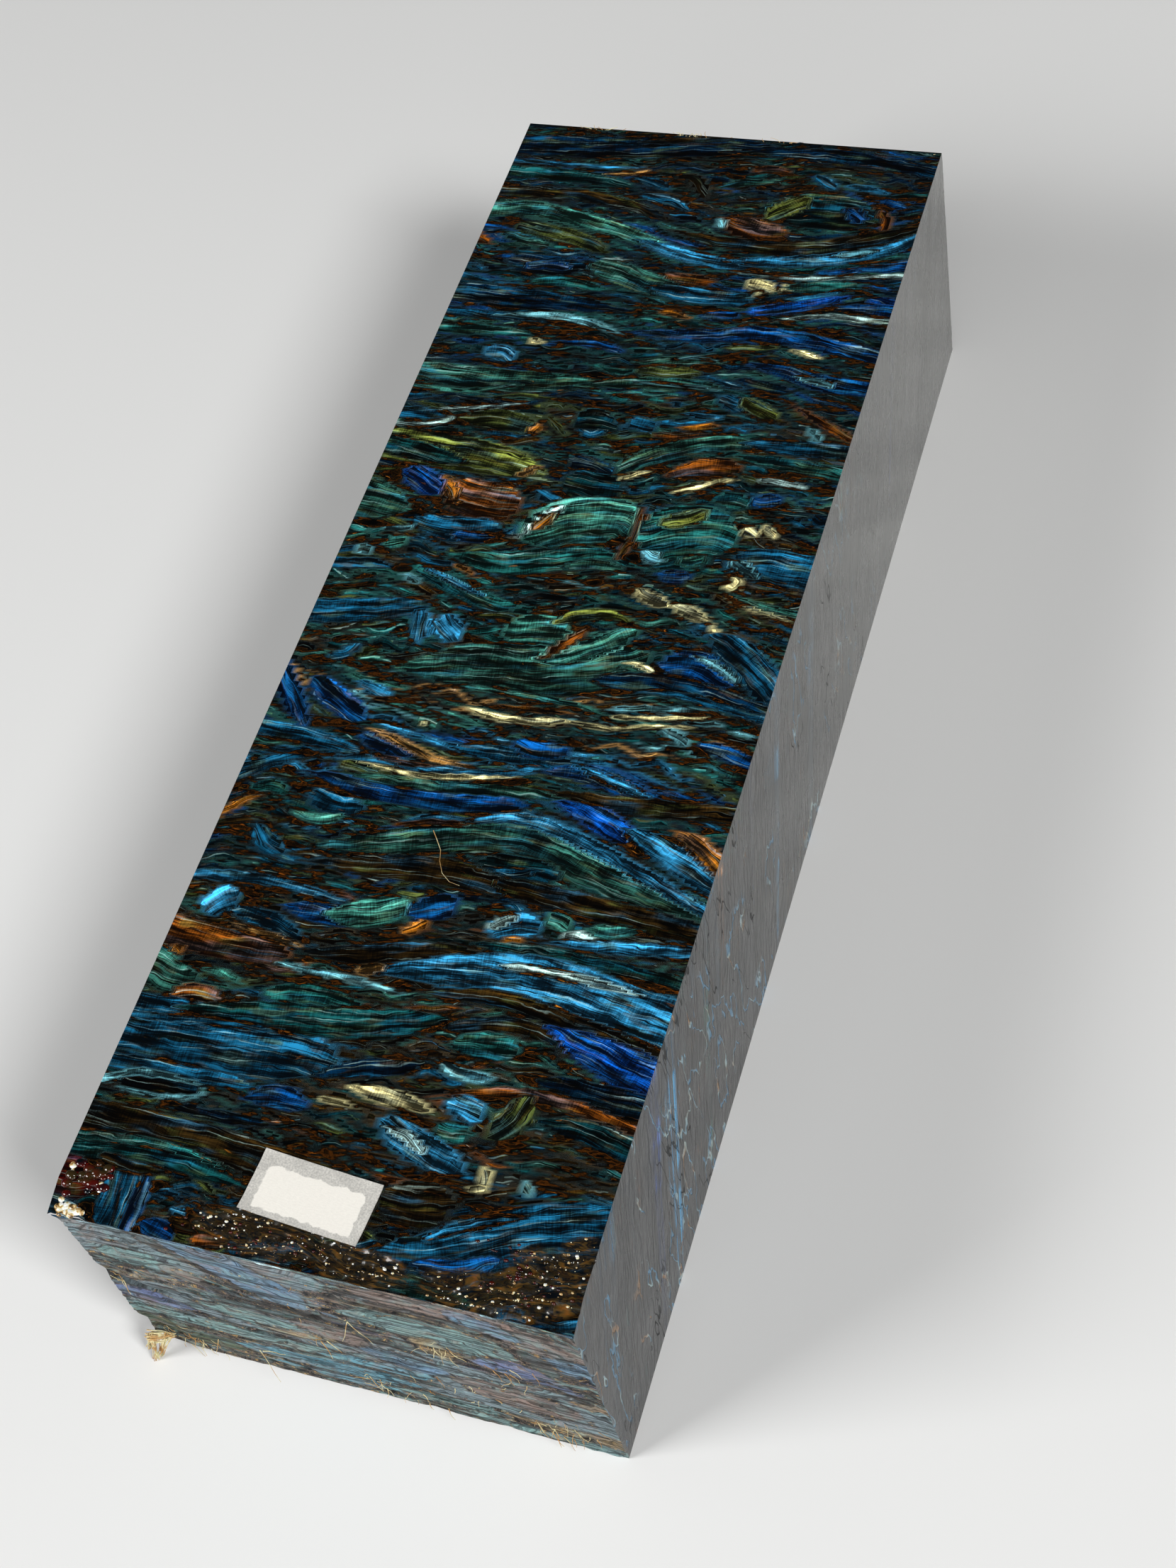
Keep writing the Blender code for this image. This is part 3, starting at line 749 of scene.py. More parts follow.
class Layout:
    """Strands laid over each other on a flat face, the later ones on top."""

    def __init__(self, places, fade):
        self.places, self.fade = places, fade
        self.in_strand = np.zeros((len(places), 3))
        self.in_strand[:, 2] = -9.0
        self.tone = np.zeros((len(places), 4))
        self.flow = np.tile((0.5, 0.0), (len(places), 1))
        self.bend = np.zeros(len(places))
        self.pull = np.full(len(places), 0.4)
        self.count = 0

    def lay(self, name, width, *corners, stiff=True):
        """Lays one strand: its tone, its width and its middle line. A stiff one bends the others."""
        self.count += 1
        chance = Random(self.count)
        shape = chance.uniform(2.0, 5.0), chance.uniform(0.75, 1.35)
        line = smooth_line(corners)
        steep = np.ptp(line[:, 1]) / (np.ptp(line, axis=0).max() + TINY)
        width = max(width * (1.15 if stiff else 1.0), 0.3 + 0.8 * steep)
        reach = width / 2 + (2 * BEND_REACH if stiff else 1.5)
        low, high = line.min(axis=0) - reach, line.max(axis=0) + reach
        mine = np.flatnonzero(((self.places > low) & (self.places < high)).all(axis=1))
        if not len(mine):
            return
        along, across, edge, course, level = measured(line, width + SEAM, shape, self.places[mine])
        edge = edge - self.fade[mine]
        was = self.in_strand[mine, 2] + SEAM
        taken = (edge > 0) | ((was <= 0) & (edge > was))
        lip = np.where(was > 0, np.minimum(was, -edge), np.maximum(was, edge))
        self.in_strand[mine, 2] = np.where(edge > 0, edge, lip) - SEAM
        self.in_strand[mine[taken], 0] = along[taken] + NUMBER_STEP * self.count
        self.in_strand[mine[taken], 1] = across[taken]
        self.tone[mine[taken]] = (*light_of(TONES[name]), 1)
        if not stiff:
            return
        weight = np.exp(-((np.minimum(edge, 0) / BEND_REACH) ** 2)) * min(1, np.ptp(line[:, 0]) / 12)
        self.flow[mine] += weight[:, None] * course * np.sign(course[:, :1])
        self.bend[mine] += weight * (level - line[:, 1].mean())
        self.pull[mine] += weight


print("seam between strands:", SEAM, "mm")

# %% [markdown]
# ## Filling in between
# Some two thousand smaller strands lie between the large ones and run the same way. They are
# drawn by a loop: it picks a bare place on an even net, follows the run of the neighbours from
# there to both sides, lets the line sway a little, and lays a strand along it, until there are
# enough of them. Each zone of the block has its own mix of tones: blue at the far end, tumbled
# teal and brown in the middle, then blue, then brown.

# %% Follow the run of the strands from a bare place
NET_STEP = 0.25
STEP = 1.2
TRIES = 30
BARE = 0.10


class Net(Layout):
    """A layout on an even net, on which lines can be followed."""

    def __init__(self, low, high):
        self.low = low
        across = np.arange(low[0], high[0], NET_STEP)
        along = np.arange(low[1], high[1], NET_STEP)
        self.wide = len(across)
        places = np.array([(x, y) for y in along for x in across])
        super().__init__(places, np.zeros(len(places)))

    def at(self, place):
        """The number of the net's point that is nearest to a place."""
        column = min(self.wide - 1, max(0, round((place[0] - self.low[0]) / NET_STEP)))
        row = max(0, round((place[1] - self.low[1]) / NET_STEP))
        return min(len(self.places) - 1, row * self.wide + column)

    def follow(self, start, length):
        """Points on a line through a place that runs as the strands round it do."""
        line = [start]
        for sign in (-1, 1):
            here = start
            for _ in range(max(1, round(length / 2 / STEP))):
                run = Vector(self.flow[self.at(here)]).normalized()
                here = here + sign * STEP * run
                line.insert(0 if sign < 0 else len(line), here)
        return [tuple(place) for place in line]


def fill_in(net, zones, wanted, seed):
    """Small strands for the bare places of a net, with the tones and the build of their zone."""
    rng = Random(seed)
    made = []
    for _ in range(TRIES * wanted):
        number = rng.randrange(len(net.places))
        bare = -net.in_strand[number, 2]
        if bare < BARE or len(made) == wanted:
            continue
        start = Vector(net.places[number])
        length, width, mix = next(zone[1:] for zone in zones if start.y > zone[0])
        width = width * rng.uniform(0.5, 1.5) * (0.6 + 0.4 * min(2.5, bare))
        length = length * rng.uniform(0.4, 1.6)
        sway, phase, wave = rng.uniform(0.1, 0.6), rng.uniform(0.0, 6.3), rng.uniform(0.7, 1.6)
        line = [(x, y + sway * math.sin(phase + wave * x)) for x, y in net.follow(start, length)]
        strand = (rng.choice(mix.split()), width, *line)
        net.lay(*strand, stiff=False)
        made.append(strand)
    return made


ZONES = (  # from this far along: usual length, usual width, and tones, the likelier named more often
    (52, 8, 0.7, "navy petrol deep_teal umber navy slate bark olive cobalt petrol umber"),
    (28, 10, 0.8, "navy petrol deep_teal teal cobalt steel navy slate petrol teal petrol deep_teal"),
    (12, 6, 0.8, "petrol deep_teal olive umber teal petrol slate navy olive steel bark"),
    (-7, 4, 0.9, "umber teal deep_teal slate bark petrol olive steel bark ink petrol teal"),
    (-13, 8, 0.45, "umber sea deep_teal bark ink petrol straw slate umber ice petrol"),
    (-31, 7, 0.7, "steel cobalt umber slate petrol navy petrol teal olive sky deep_teal"),
    (-56, 8, 0.55, "umber bark olive umber deep_teal bark petrol steel umber slate ink rust"),
    (-999, 3, 0.6, "umber navy olive steel bark ink petrol umber"),
)
FILLERS = 2200
PAST_BACK = 22
net = Net((LEFT - 1, FRONT - 1), (RIGHT + 1, BACK + PAST_BACK))
for strand in STRANDS:
    net.lay(*strand)
fillers = fill_in(net, ZONES, FILLERS, 11)
print(len(fillers), "strands fill in;", f"{(net.in_strand[:, 2] < 0).mean():.0%} is still bare")

# %% [markdown]
# ## From the net to the block's own points
# The net was only for choosing the small strands. Now all strands are laid again on the points of
# the mesh, each point first slid along its layer up to the top, the small strands below and the
# large ones over them. Strands get a little thinner with depth, which keeps the sides quieter.

# %% Lay the strands of the top, and follow them down into the block
SLANT = 0.35
LAYER_TILT = Vector((0.0, 0.944, -0.330))
STRAND_TILT = Vector((0.0, -0.330, -0.944))
DEPTH_FADE = 0.05

on_end = (sharp[:, 1] < FRONT + TINY) & (sharp[:, 2] < TOP - TINY)
depth = TOP - sharp[:, 2]
followed = np.column_stack((sharp[:, 0], sharp[:, 1] + SLANT * depth))
body = Layout(followed[~on_end], DEPTH_FADE * depth[~on_end])
for strand in fillers:
    body.lay(*strand, stiff=False)
for strand in STRANDS:
    body.lay(*strand)
print(f"{(body.in_strand[:, 2] > 0).mean():.0%} of those points lie in a strand")

# %% [markdown]
# ## The strands on the labelled end
# Here the saw met the strands end on. They look like flat lenses, wider than on the top, and are
# chalky from the saw. The pairs of numbers are now the place across and the height.

# %% Lay the strands of the labelled end
TONES.update(
    {
        "chalk_teal": (136, 174, 172),
        "chalk_grey": (136, 154, 162),
        "chalk_blue": (118, 154, 186),
        "chalk_cyan": (104, 168, 190),
        "chalk_violet": (112, 126, 176),
        "chalk_rose": (150, 128, 118),
        "chalk_sand": (186, 160, 116),
        "shadow_green": (64, 80, 76),
        "shadow_brown": (74, 62, 52),
    }
)
END_STRANDS = (
    ("chalk_grey", 6.0, (-24, 24), (-15, 24.6), (-6, 25.4), (2, 26)),
    ("chalk_rose", 5.2, (3, 26.6), (9, 26), (14, 24.6), (22, 22.4)),
    ("chalk_grey", 3.4, (-22, 26.8), (-18, 26.6), (-14, 26.4)),
    ("chalk_grey", 9.0, (-23, 12.2), (-10, 12.6), (0, 11.4), (12, 9), (22, 7.4)),
    ("chalk_teal", 3.6, (-21.4, 21.8), (-17, 21.6), (-13, 20.4)),
    ("chalk_rose", 2.2, (-14.8, 21.4), (-12.6, 20), (-10.8, 18.8)),
    ("shadow_brown", 1.7, (-15.6, 27.6), (-9.6, 23.6), (-4.4, 19), (0.6, 18.2), (3, 20)),
    ("chalk_blue", 4.4, (-13.4, 28.6), (-8.6, 25.6), (-4.6, 21.8), (-1.8, 18.8)),
    ("shadow_brown", 1.2, (-2.4, 23.4), (1.2, 23), (5, 24.2), (9.6, 24.2), (15, 22.4), (18, 18.6)),
    ("chalk_teal", 4.7, (-0.2, 20.4), (7.4, 21), (13, 20.4), (16.4, 18.8)),
    ("chalk_sand", 0.5, (0.4, 22.4), (5, 23.6), (10, 23.4), (14.6, 21.8)),
    ("chalk_blue", 2.4, (11.4, 26.2), (14.6, 25.2), (17.6, 23.4)),
    ("chalk_blue", 3.4, (18.4, 21.4), (20.6, 20.4), (24, 20)),
    ("shadow_brown", 2.0, (16.8, 22.2), (18.2, 19.4), (19.2, 16.6)),
    ("shadow_green", 1.3, (-18, 17.4), (-10.6, 16.4), (-2.4, 16.2), (4, 15.2), (8, 13.6)),
    ("chalk_rose", 3.4, (-4.6, 15), (-0.6, 14.4), (2.4, 13)),
    ("shadow_brown", 1.2, (4.6, 16.6), (8.6, 15.6), (13, 15.2)),
    ("chalk_sand", 2.4, (7, 18.6), (8.6, 16.8), (9.6, 14.6)),
    ("chalk_violet", 2.9, (11.4, 16.2), (15, 16.6), (19, 16)),
    ("chalk_violet", 2.6, (-22, 12.8), (-18, 12.6), (-13.6, 11.4)),
    ("chalk_teal", 3.0, (-14, 14.4), (-9.4, 13.6), (-3.6, 12.4)),
    ("chalk_sand", 1.0, (-8.6, 12), (-5, 11.8), (-0.6, 12.6)),
    ("shadow_green", 0.7, (-16, 11.4), (-11, 10.4), (-5, 9.9)),
    ("chalk_blue", 2.8, (0.6, 12.4), (4.4, 11.8), (9, 11.2)),
    ("chalk_rose", 4.0, (8.6, 10.4), (14, 9), (20, 8.2)),
    ("chalk_sand", 1.6, (19.4, 11.6), (21, 11.2), (23, 11)),
    ("chalk_teal", 2.2, (-22, 8.6), (-14, 8.8), (-4, 8.8), (5, 9)),
    ("chalk_cyan", 1.9, (-4.4, 8.2), (1, 8.6), (7.4, 8.8)),
    ("shadow_green", 0.8, (-16, 7), (-8, 6.9), (0, 7.2), (8, 7)),
    ("chalk_cyan", 2.9, (-13.4, 4.6), (-8, 4.9), (-1.6, 5.2), (5.4, 5.6)),
    ("chalk_teal", 2.0, (2, 3), (8, 3.4), (15, 3.6)),
    ("olive", 3.9, (-22, 4.6), (-19, 4.2), (-15.4, 3.9), (-11.8, 3.2)),
    ("chalk_cyan", 1.6, (-11, 2.4), (-4, 2.2), (4, 1.8)),
    ("chalk_sand", 2.0, (11.4, 3.9), (15.4, 3), (19, 2.8), (24, 3.2)),
    ("chalk_teal", 1.9, (6, 1.4), (14, 1), (22, 0.6)),
)
END_ZONES = (
    (18, 7, 0.8, "chalk_grey chalk_rose chalk_teal chalk_blue shadow_brown chalk_grey"),
    (7, 7, 0.8, "chalk_grey chalk_teal shadow_brown chalk_rose chalk_violet shadow_green chalk_sand"),
    (-999, 7, 0.7, "chalk_cyan chalk_teal shadow_green chalk_sand chalk_teal olive"),
)
END_FILLERS = 240
end_net = Net((LEFT - 1, FOOT - 1), (RIGHT + 1, TOP + 1))
for strand in END_STRANDS:
    end_net.lay(*strand)
end_fillers = fill_in(end_net, END_ZONES, END_FILLERS, 5)
end = Layout(sharp[on_end][:, [0, 2]], np.zeros(on_end.sum()))
for strand in end_fillers:
    end.lay(*strand, stiff=False)
for strand in END_STRANDS:
    end.lay(*strand)
print(len(END_STRANDS), "large and", len(end_fillers), "small strands on the labelled end")

# %% [markdown]
# ## Layers for the ground
# The ground between the strands needs noise that runs with the layers. So each point gets its
# place in them: across the block, across the layers, and down along them. Where a large strand
# bows, the layers near it bow too, by the mean of the bends that reach the point.

# %% Work out the place in the layers, and how open the grain is
def both(name):
    """One value for every point, from the layout that it belongs to."""
    top_part, end_part = getattr(body, name), getattr(end, name)
    whole = np.zeros((len(sharp), *top_part.shape[1:]))
    whole[~on_end], whole[on_end] = top_part, end_part
    return whole


moved = both("bend") / both("pull")
level = np.where(on_end, sharp[:, 2] - moved, sharp[:, 2])
station = np.where(on_end, sharp[:, 1], sharp[:, 1] - moved)
layer_place = np.column_stack(
    (
        sharp[:, 0],
        LAYER_TILT.y * station + LAYER_TILT.z * level,
        STRAND_TILT.y * sharp[:, 1] + STRAND_TILT.z * sharp[:, 2],
    )
)
openness = [
    open_grain(x, y) * between(z, TOP - 1.4, TOP - 0.6) if y < FRONT + 9 else 0.0 for x, y, z in sharp
]
print("points of open grain:", sum(value > 0.5 for value in openness))

# %% [markdown]
# ## Handing a piece over
# Every finished piece goes to metres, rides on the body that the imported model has, names the
# finish that it stands for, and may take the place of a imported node.

# %% Turn a mesh into a piece
ROOT = "root"


def keep(mesh, name, kind, channel, values):
    """Stores one value for each point of a mesh."""
    layer = mesh.attributes.new(name, kind, "POINT")
    layer.data.foreach_set(channel, np.ascontiguousarray(values, dtype=np.float32).ravel())


def finished(bm, name, materials, replaced=()):
    """Brings a mesh made in millimetres to metres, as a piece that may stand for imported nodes."""
    bmesh.ops.scale(bm, vec=(MM, MM, MM), verts=bm.verts)
    mesh = bpy.data.meshes.new(name)
    bm.to_mesh(mesh)
    bm.free()
    for material in materials:
        mesh.materials.append(material)
    piece = bpy.data.objects.new(name, mesh)
    bpy.context.scene.collection.objects.link(piece)
    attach(piece, ROOT)
    if replaced:
        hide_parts(*replaced)
    print(name, "has", len(mesh.polygons), "faces")
    return piece


print("pieces ride on the body named", ROOT)

# %% [markdown]
# ## Sums in a material
# A finish is a picture worked out by nodes, and most of those nodes are sums. Written one by one
# they are hard to read, so a small class wraps a node's socket and lets it stand in a sum as a
# number does: `1 - mask` adds the Math node that does it. Every other node comes from `node`.

# %% A socket that can be used in sums
class Wire:
    """A socket of a material's nodes, which can stand in a sum as a number does."""

    def __init__(self, tree, socket=None):
        self.tree = tree
        self.socket = socket

    def node(self, kind, settings, inputs, output=0):
        """Adds a node: first its settings, then the values or wires of its sockets."""
        made = self.tree.nodes.new(kind)
        stops = settings.pop("stops", ())
        for name, value in settings.items():
            setattr(made, name, value)
        for number, (place, colour) in enumerate(stops):
            ramp = made.color_ramp.elements
            stop = ramp[number] if number < 2 else ramp.new(place)
            stop.position, stop.color = place, (*colour, 1.0)
        for name, value in inputs.items():
            if isinstance(value, Wire):
                self.tree.links.new(value.socket, made.inputs[name])
            else:
                made.inputs[name].default_value = value
        return Wire(self.tree, made.outputs[output])

    def output(self, name):
        """Another socket of the same node."""
        return Wire(self.tree, self.socket.node.outputs[name])

    def sum(self, operation, *values):
        return self.node("ShaderNodeMath", {"operation": operation}, dict(enumerate(values)))

    def __add__(self, other):
        return self.sum("ADD", self, other)

    def __radd__(self, other):
        return self.sum("ADD", other, self)

    def __sub__(self, other):
        return self.sum("SUBTRACT", self, other)

    def __rsub__(self, other):
        return self.sum("SUBTRACT", other, self)

    def __mul__(self, other):
        return self.sum("MULTIPLY", self, other)

    def __rmul__(self, other):
        return self.sum("MULTIPLY", other, self)

    def __abs__(self):
        return self.sum("ABSOLUTE", self)


print("sums add nodes:", Wire.__add__.__name__, Wire.__rsub__.__name__, Wire.__mul__.__name__)

# %% [markdown]
# ## A few nodes with many uses
# Most of the look comes from one node, the Noise Texture, read in a stretched space: lumps a few
# millimetres long and a fraction of one thick are fibres. A Map Range node cuts a soft step out
# of it, a Color Ramp gives it named tones, and a Mix node lays one colour over another.

# %% Short names for the nodes that every finish uses
def colour_of(name):
    return (*light_of(TONES[name]), 1.0)


def blend(share, first, second):
    """The first colour, turning into the second as the share goes from 0 to 1."""
    return share.node("ShaderNodeMix", {"data_type": "RGBA"}, {0: share, 6: first, 7: second}, 2)


def dimmed(colour, amount):
    return colour.node("ShaderNodeVectorMath", {"operation": "SCALE"}, {0: colour, "Scale": amount})


def rise(value, low, high):
    """0 up to a low value, 1 from a high one, and smooth from one to the other."""
    settings = {"interpolation_type": "SMOOTHSTEP"}
    return value.node("ShaderNodeMapRange", settings, {0: value, "From Min": low, "From Max": high})


def stretched(place, size, shift=(0.0, 0.0, 0.0)):
    """A place counted in lumps of a size, so that noise comes out long and thin."""
    scale = tuple(1 / length for length in size)
    settings = {"operation": "MULTIPLY_ADD"}
    return place.node("ShaderNodeVectorMath", settings, {0: place, 1: scale, 2: shift})


def grain(place, size, detail=2.0, shift=(0.0, 0.0, 0.0)):
    """Noise from 0 to 1, in lumps of a size."""
    inputs = {"Vector": stretched(place, size, shift), "Scale": 1.0, "Detail": detail}
    return place.node("ShaderNodeTexNoise", {}, inputs, "Fac")


def ramp(value, *stops):
    """A colour for each share, from named tones."""
    settings = {"stops": [(place, light_of(TONES[name])) for place, name in stops]}
    return value.node("ShaderNodeValToRGB", settings, {0: value}, "Color")


def bumped(height, distance, strength):
    """The shading normal of fine relief, whose full height is a distance in metres."""
    inputs = {"Height": height, "Distance": distance, "Strength": strength}
    return height.node("ShaderNodeBump", {}, inputs, "Normal")


def new_finish(name):
    """A material and the wire that its nodes start from."""
    material = bpy.data.materials.new(name)
    material.use_nodes = True
    return material, Wire(material.node_tree)


def set_shader(start, values):
    """Sets the main shader's sockets to numbers or wires."""
    shader = start.tree.nodes["Principled BSDF"]
    for name, value in values.items():
        if isinstance(value, Wire):
            start.tree.links.new(value.socket, shader.inputs[name])
        else:
            shader.inputs[name].default_value = value


print("helpers are ready")

# %% [markdown]
# ## The look of pressed, dyed strands
# Between the large strands the block is brown, undyed fibre and small dyed chips in dark resin.
# The fibre was pressed round each strand, so its lines run along the strand's edge: noise that is
# long beside the strand and short away from it gives them. A chip is a cell of stretched, warped
# Voronoi noise, with one tone and a dark rim where resin wets it.

# %% The small chips
def chips(place, size, seed):
    """A random number for each small chip, and how far inside its chip each place is."""
    settings = {"feature": "DISTANCE_TO_EDGE"}
    cells = {"Vector": stretched(place, size, (seed, seed, seed)), "Scale": 1.0}
    pick = place.node("ShaderNodeTexVoronoi", {}, cells, "Color")
    chance = pick.node("ShaderNodeSeparateColor", {}, {0: pick}, "Red")
    return chance, place.node("ShaderNodeTexVoronoi", settings, cells)


def bent_place(start):
    """The place in the layers, bent as if the chips had been pressed round each other."""
    place = start.node("ShaderNodeAttribute", {"attribute_name": "layer_place"}, {}, "Vector")
    wide = grain(place, (9.0, 2.4, 9.0), 1.0) - 0.5
    small = grain(place, (2.2, 0.7, 2.2), 2.0, (5.0, 0.0, 0.0)) - 0.5
    lift = place.node("ShaderNodeCombineXYZ", {}, {"Y": 2.4 * wide + 0.9 * small})
    return place.node("ShaderNodeVectorMath", {"operation": "ADD"}, {0: place, 1: lift})


DYED = (
    (0.0, "ink"), (0.16, "navy"), (0.26, "petrol"), (0.36, "ink"), (0.44, "deep_teal"),
    (0.54, "petrol"), (0.62, "teal"), (0.70, "petrol"), (0.78, "steel"), (0.86, "deep_teal"),
    (0.93, "slate"), (1.0, "sea"),
)
FIBRE = (
    (0.34, "ink"), (0.45, "umber"), (0.51, "bark"), (0.56, "umber"), (0.63, "rust"), (0.71, "gold"),
)


def chip_ground(bent):
    """The small dyed chips and the long bare fibres between them, with gloom where resin lies deep."""
    chance, inside = chips(bent, (6.0, 0.50, 6.0), 3.0)
    fine_chance, fine_inside = chips(bent, (3.4, 0.24, 3.4), 8.0)
    zone = rise(grain(bent, (12.0, 2.4, 12.0), 2.0, (2.0, 0.0, 0.0)), 0.42, 0.58)
    dyed = blend(zone, ramp(fine_chance, *DYED), ramp(chance, *DYED))
    bare = ramp(grain(bent, (12.0, 0.30, 12.0), 3.0, (0.0, 4.0, 0.0)), *FIBRE)
    brown = rise(grain(bent, (12.0, 1.6, 12.0), 2.0, (0.0, 9.0, 0.0)), 0.42, 0.54)
    lines = rise(grain(bent, (10.0, 0.16, 10.0), 3.0), 0.45, 0.66)
    gloom = rise(grain(bent, (4.5, 0.75, 4.5), 2.0, (7.0, 0.0, 0.0)), 0.46, 0.62)
    rims = rise(inside, 0.0, 0.14) * rise(fine_inside, 0.0, 0.12)
    shade = (0.01 + 1.7 * lines * lines) * (0.03 + 1.1 * gloom)
    return dimmed(blend(brown, dimmed(dyed, rims), bare), shade)


print(len(DYED), "tones for the dyed chips")

# %% [markdown]
# ## Pressed fibre
# Close to a strand, the distance to its edge takes the place of one direction of the noise. Its
# lines then run round the strand, as the fibre did in the press, and need no drawing of their own.

# %% The brown fibre that was pressed round the strands
FAR = 900.0


def pressed_fibre(place, inside):
    """Fibre whose lines run along the edge of the nearest strand."""
    beside = place.node("ShaderNodeSeparateXYZ", {}, {0: place}, "X")
    run = place.node("ShaderNodeCombineXYZ", {}, {"X": beside, "Y": inside})
    light = rise(grain(run, (3.4, 0.13, FAR), 2.0), 0.49, 0.66)
    tone = ramp(grain(run, (5.0, 0.26, FAR), 3.0), *FIBRE)
    return dimmed(tone, 0.01 + 1.2 * light * light)


print(len(FIBRE), "tones in the bare fibre")

# %% [markdown]
# ## The large strands
# A strand's tone is only where it starts. Dye soaks in unevenly, so bands of light and dark run
# along it; fibres make fine lines, and vessels cut across make a fine hatch. One side of a strand
# is painted darker and the other lighter, a painted shade as if light fell on it from one side, and
# thin pale streaks along it are painted highlights. The darkest bands are almost black and the
# lightest almost white, which gives the resin its depth. A thin rust line often runs just outside
# a strand, where the wood took no dye. Light passes through clear resin twice, so a Gamma node
# deepens the darks at the end, and a gain brings the strands' brightness back up.

# %% Lay the large strands over the ground
DEEPENED = 1.3
GAIN = (2.10, 2.04, 1.88)


def strand_light_and_side_shade(place, run, inside):
    """How light a strand is at a place, from bands, patches, fibres, hatch and a painted side shade."""
    bands = grain(run, (10.0, 0.65, FAR), 3.0)
    patches = grain(run, (3.2, 0.9, FAR), 2.0, (4.0, 0.0, 0.0))
    fibres = grain(run, (2.8, 0.09, FAR), 2.0)
    hatch = grain(run, (0.13, 1.3, FAR), 2.0)
    mixed = 0.36 * bands + 0.28 * patches + 0.20 * fibres + 0.10 * hatch
    cracks = rise(grain(run, (7.0, 0.16, FAR), 2.0, (2.0, 0.0, 0.0)), 0.32, 0.42)
    across = place.node("ShaderNodeSeparateXYZ", {}, {0: place}, "Y")
    # painted shade: one side of each strand is made lighter and the other darker, as if light fell on it from
    # one side
    side = across.sum("DIVIDE", across, abs(across) + inside.sum("MAXIMUM", inside, 0.0) + 0.12)
    painted_lit_side = 3.0 * (grain(place, (50.0, FAR, FAR), 1.0) - 0.5) + 0.4
    light = rise(mixed, 0.375, 0.585) * cracks
    return light * (0.62 + 0.42 * painted_lit_side * side)


def large_strands(place, inside, dye, ground):
    """The large strands in their own tones, laid over the ground."""
    curl = grain(place, (3.0, 1.1, FAR), 2.0) - 0.5
    lift = place.node("ShaderNodeCombineXYZ", {}, {"Y": curl})
    run = place.node("ShaderNodeVectorMath", {"operation": "ADD"}, {0: place, 1: lift})
    light = strand_light_and_side_shade(place, run, inside)
    bluer = rise(grain(place, (6.0, 1.4, FAR), 1.0, (3.0, 0.0, 0.0)), 0.50, 0.62)
    warmer = rise(grain(place, (4.0, 1.0, FAR), 1.0, (0.0, 5.0, 0.0)), 0.54, 0.68)
    stained = rise(grain(place, (3.0, 0.6, FAR), 2.0, (0.0, 1.0, 6.0)), 0.54, 0.66)
    dyed = blend(0.40 * bluer, dye, colour_of("steel"))
    dyed = blend(0.50 * warmer, dyed, colour_of("olive"))
    dyed = blend(0.45 * stained, dyed, colour_of("bark"))
    strand = dimmed(dyed, (0.05 + 4.6 * light * light) * (0.25 + 0.75 * rise(inside, 0.0, 0.22)))
    # painted highlight: thin pale streaks along the strand, blended towards pale or sky
    painted_highlight = rise(grain(run, (11.0, 0.20, FAR), 2.0, (0.0, 0.0, 3.0)), 0.56, 0.70) * light
    strand = blend(0.75 * painted_highlight, strand, blend(bluer, colour_of("pale"), colour_of("sky")))
    bare = rise(grain(place, (2.6, 0.5, FAR), 2.0, (9.0, 0.0, 0.0)), 0.60, 0.70)
    strand = blend(0.55 * bare, strand, ground)
    return blend(rise(inside, -0.02, 0.06), ground, strand)


def rust_rim(place, edge, inside):
    """How strong the thin rust line is that runs outside a strand, where there is room for it."""
    broken = rise(grain(place, (3.0, 1.4, FAR), 2.0, (0.0, 0.0, 7.0)), 0.46, 0.58)
    fine = rise(grain(place, (1.6, 0.10, FAR), 2.0, (3.0, 0.0, 0.0)), 0.38, 0.62)
    line = rise(inside, -0.11, -0.07) * (1 - rise(inside, -0.05, -0.01))
    return line * broken * fine * rise(edge, -0.25, -0.12)


def strand_picture(start):
    """The whole pattern, and the bent place that it was worked out from."""
    bent = bent_place(start)
    place = start.node("ShaderNodeAttribute", {"attribute_name": "strand_place"}, {}, "Vector")
    dye = start.node("ShaderNodeAttribute", {"attribute_name": "strand_tone"}, {}, "Color")
    edge = place.node("ShaderNodeSeparateXYZ", {}, {0: place}, "Z")
    wobble = grain(bent, (1.9, 0.45, 1.9), 3.0, (0.0, 3.0, 0.0)) - 0.5
    swell = grain(bent, (6.0, 1.2, 6.0), 1.0, (0.0, 0.0, 3.0)) - 0.5
    inside = edge + 0.65 * wobble + 0.70 * swell + 0.11
    near = rise(edge + 0.6 * swell, -0.50, -0.22)
    ground = blend(near, chip_ground(bent), pressed_fibre(place, inside))
    picture = large_strands(place, inside, dye, ground)
    picture = blend(0.9 * rust_rim(place, edge, inside), picture, colour_of("rust"))
    deep = picture.node("ShaderNodeGamma", {}, {"Color": picture, "Gamma": DEEPENED})
    return deep.node("ShaderNodeVectorMath", {"operation": "MULTIPLY"}, {0: deep, 1: GAIN}), bent


print("strand picture is ready")

# %% [markdown]
# ## Three finishes of one block
# The pattern is the same all through, so every face shares it and they differ in how they were
# worked. The top is buffed: deep, dark and glossy, but for the open grain, where crumbs of brown
# show and the gloss is broken. The relief is so low that it only makes reflections tremble.

# %% The buffed top
BUFFED_RELIEF = 0.00003


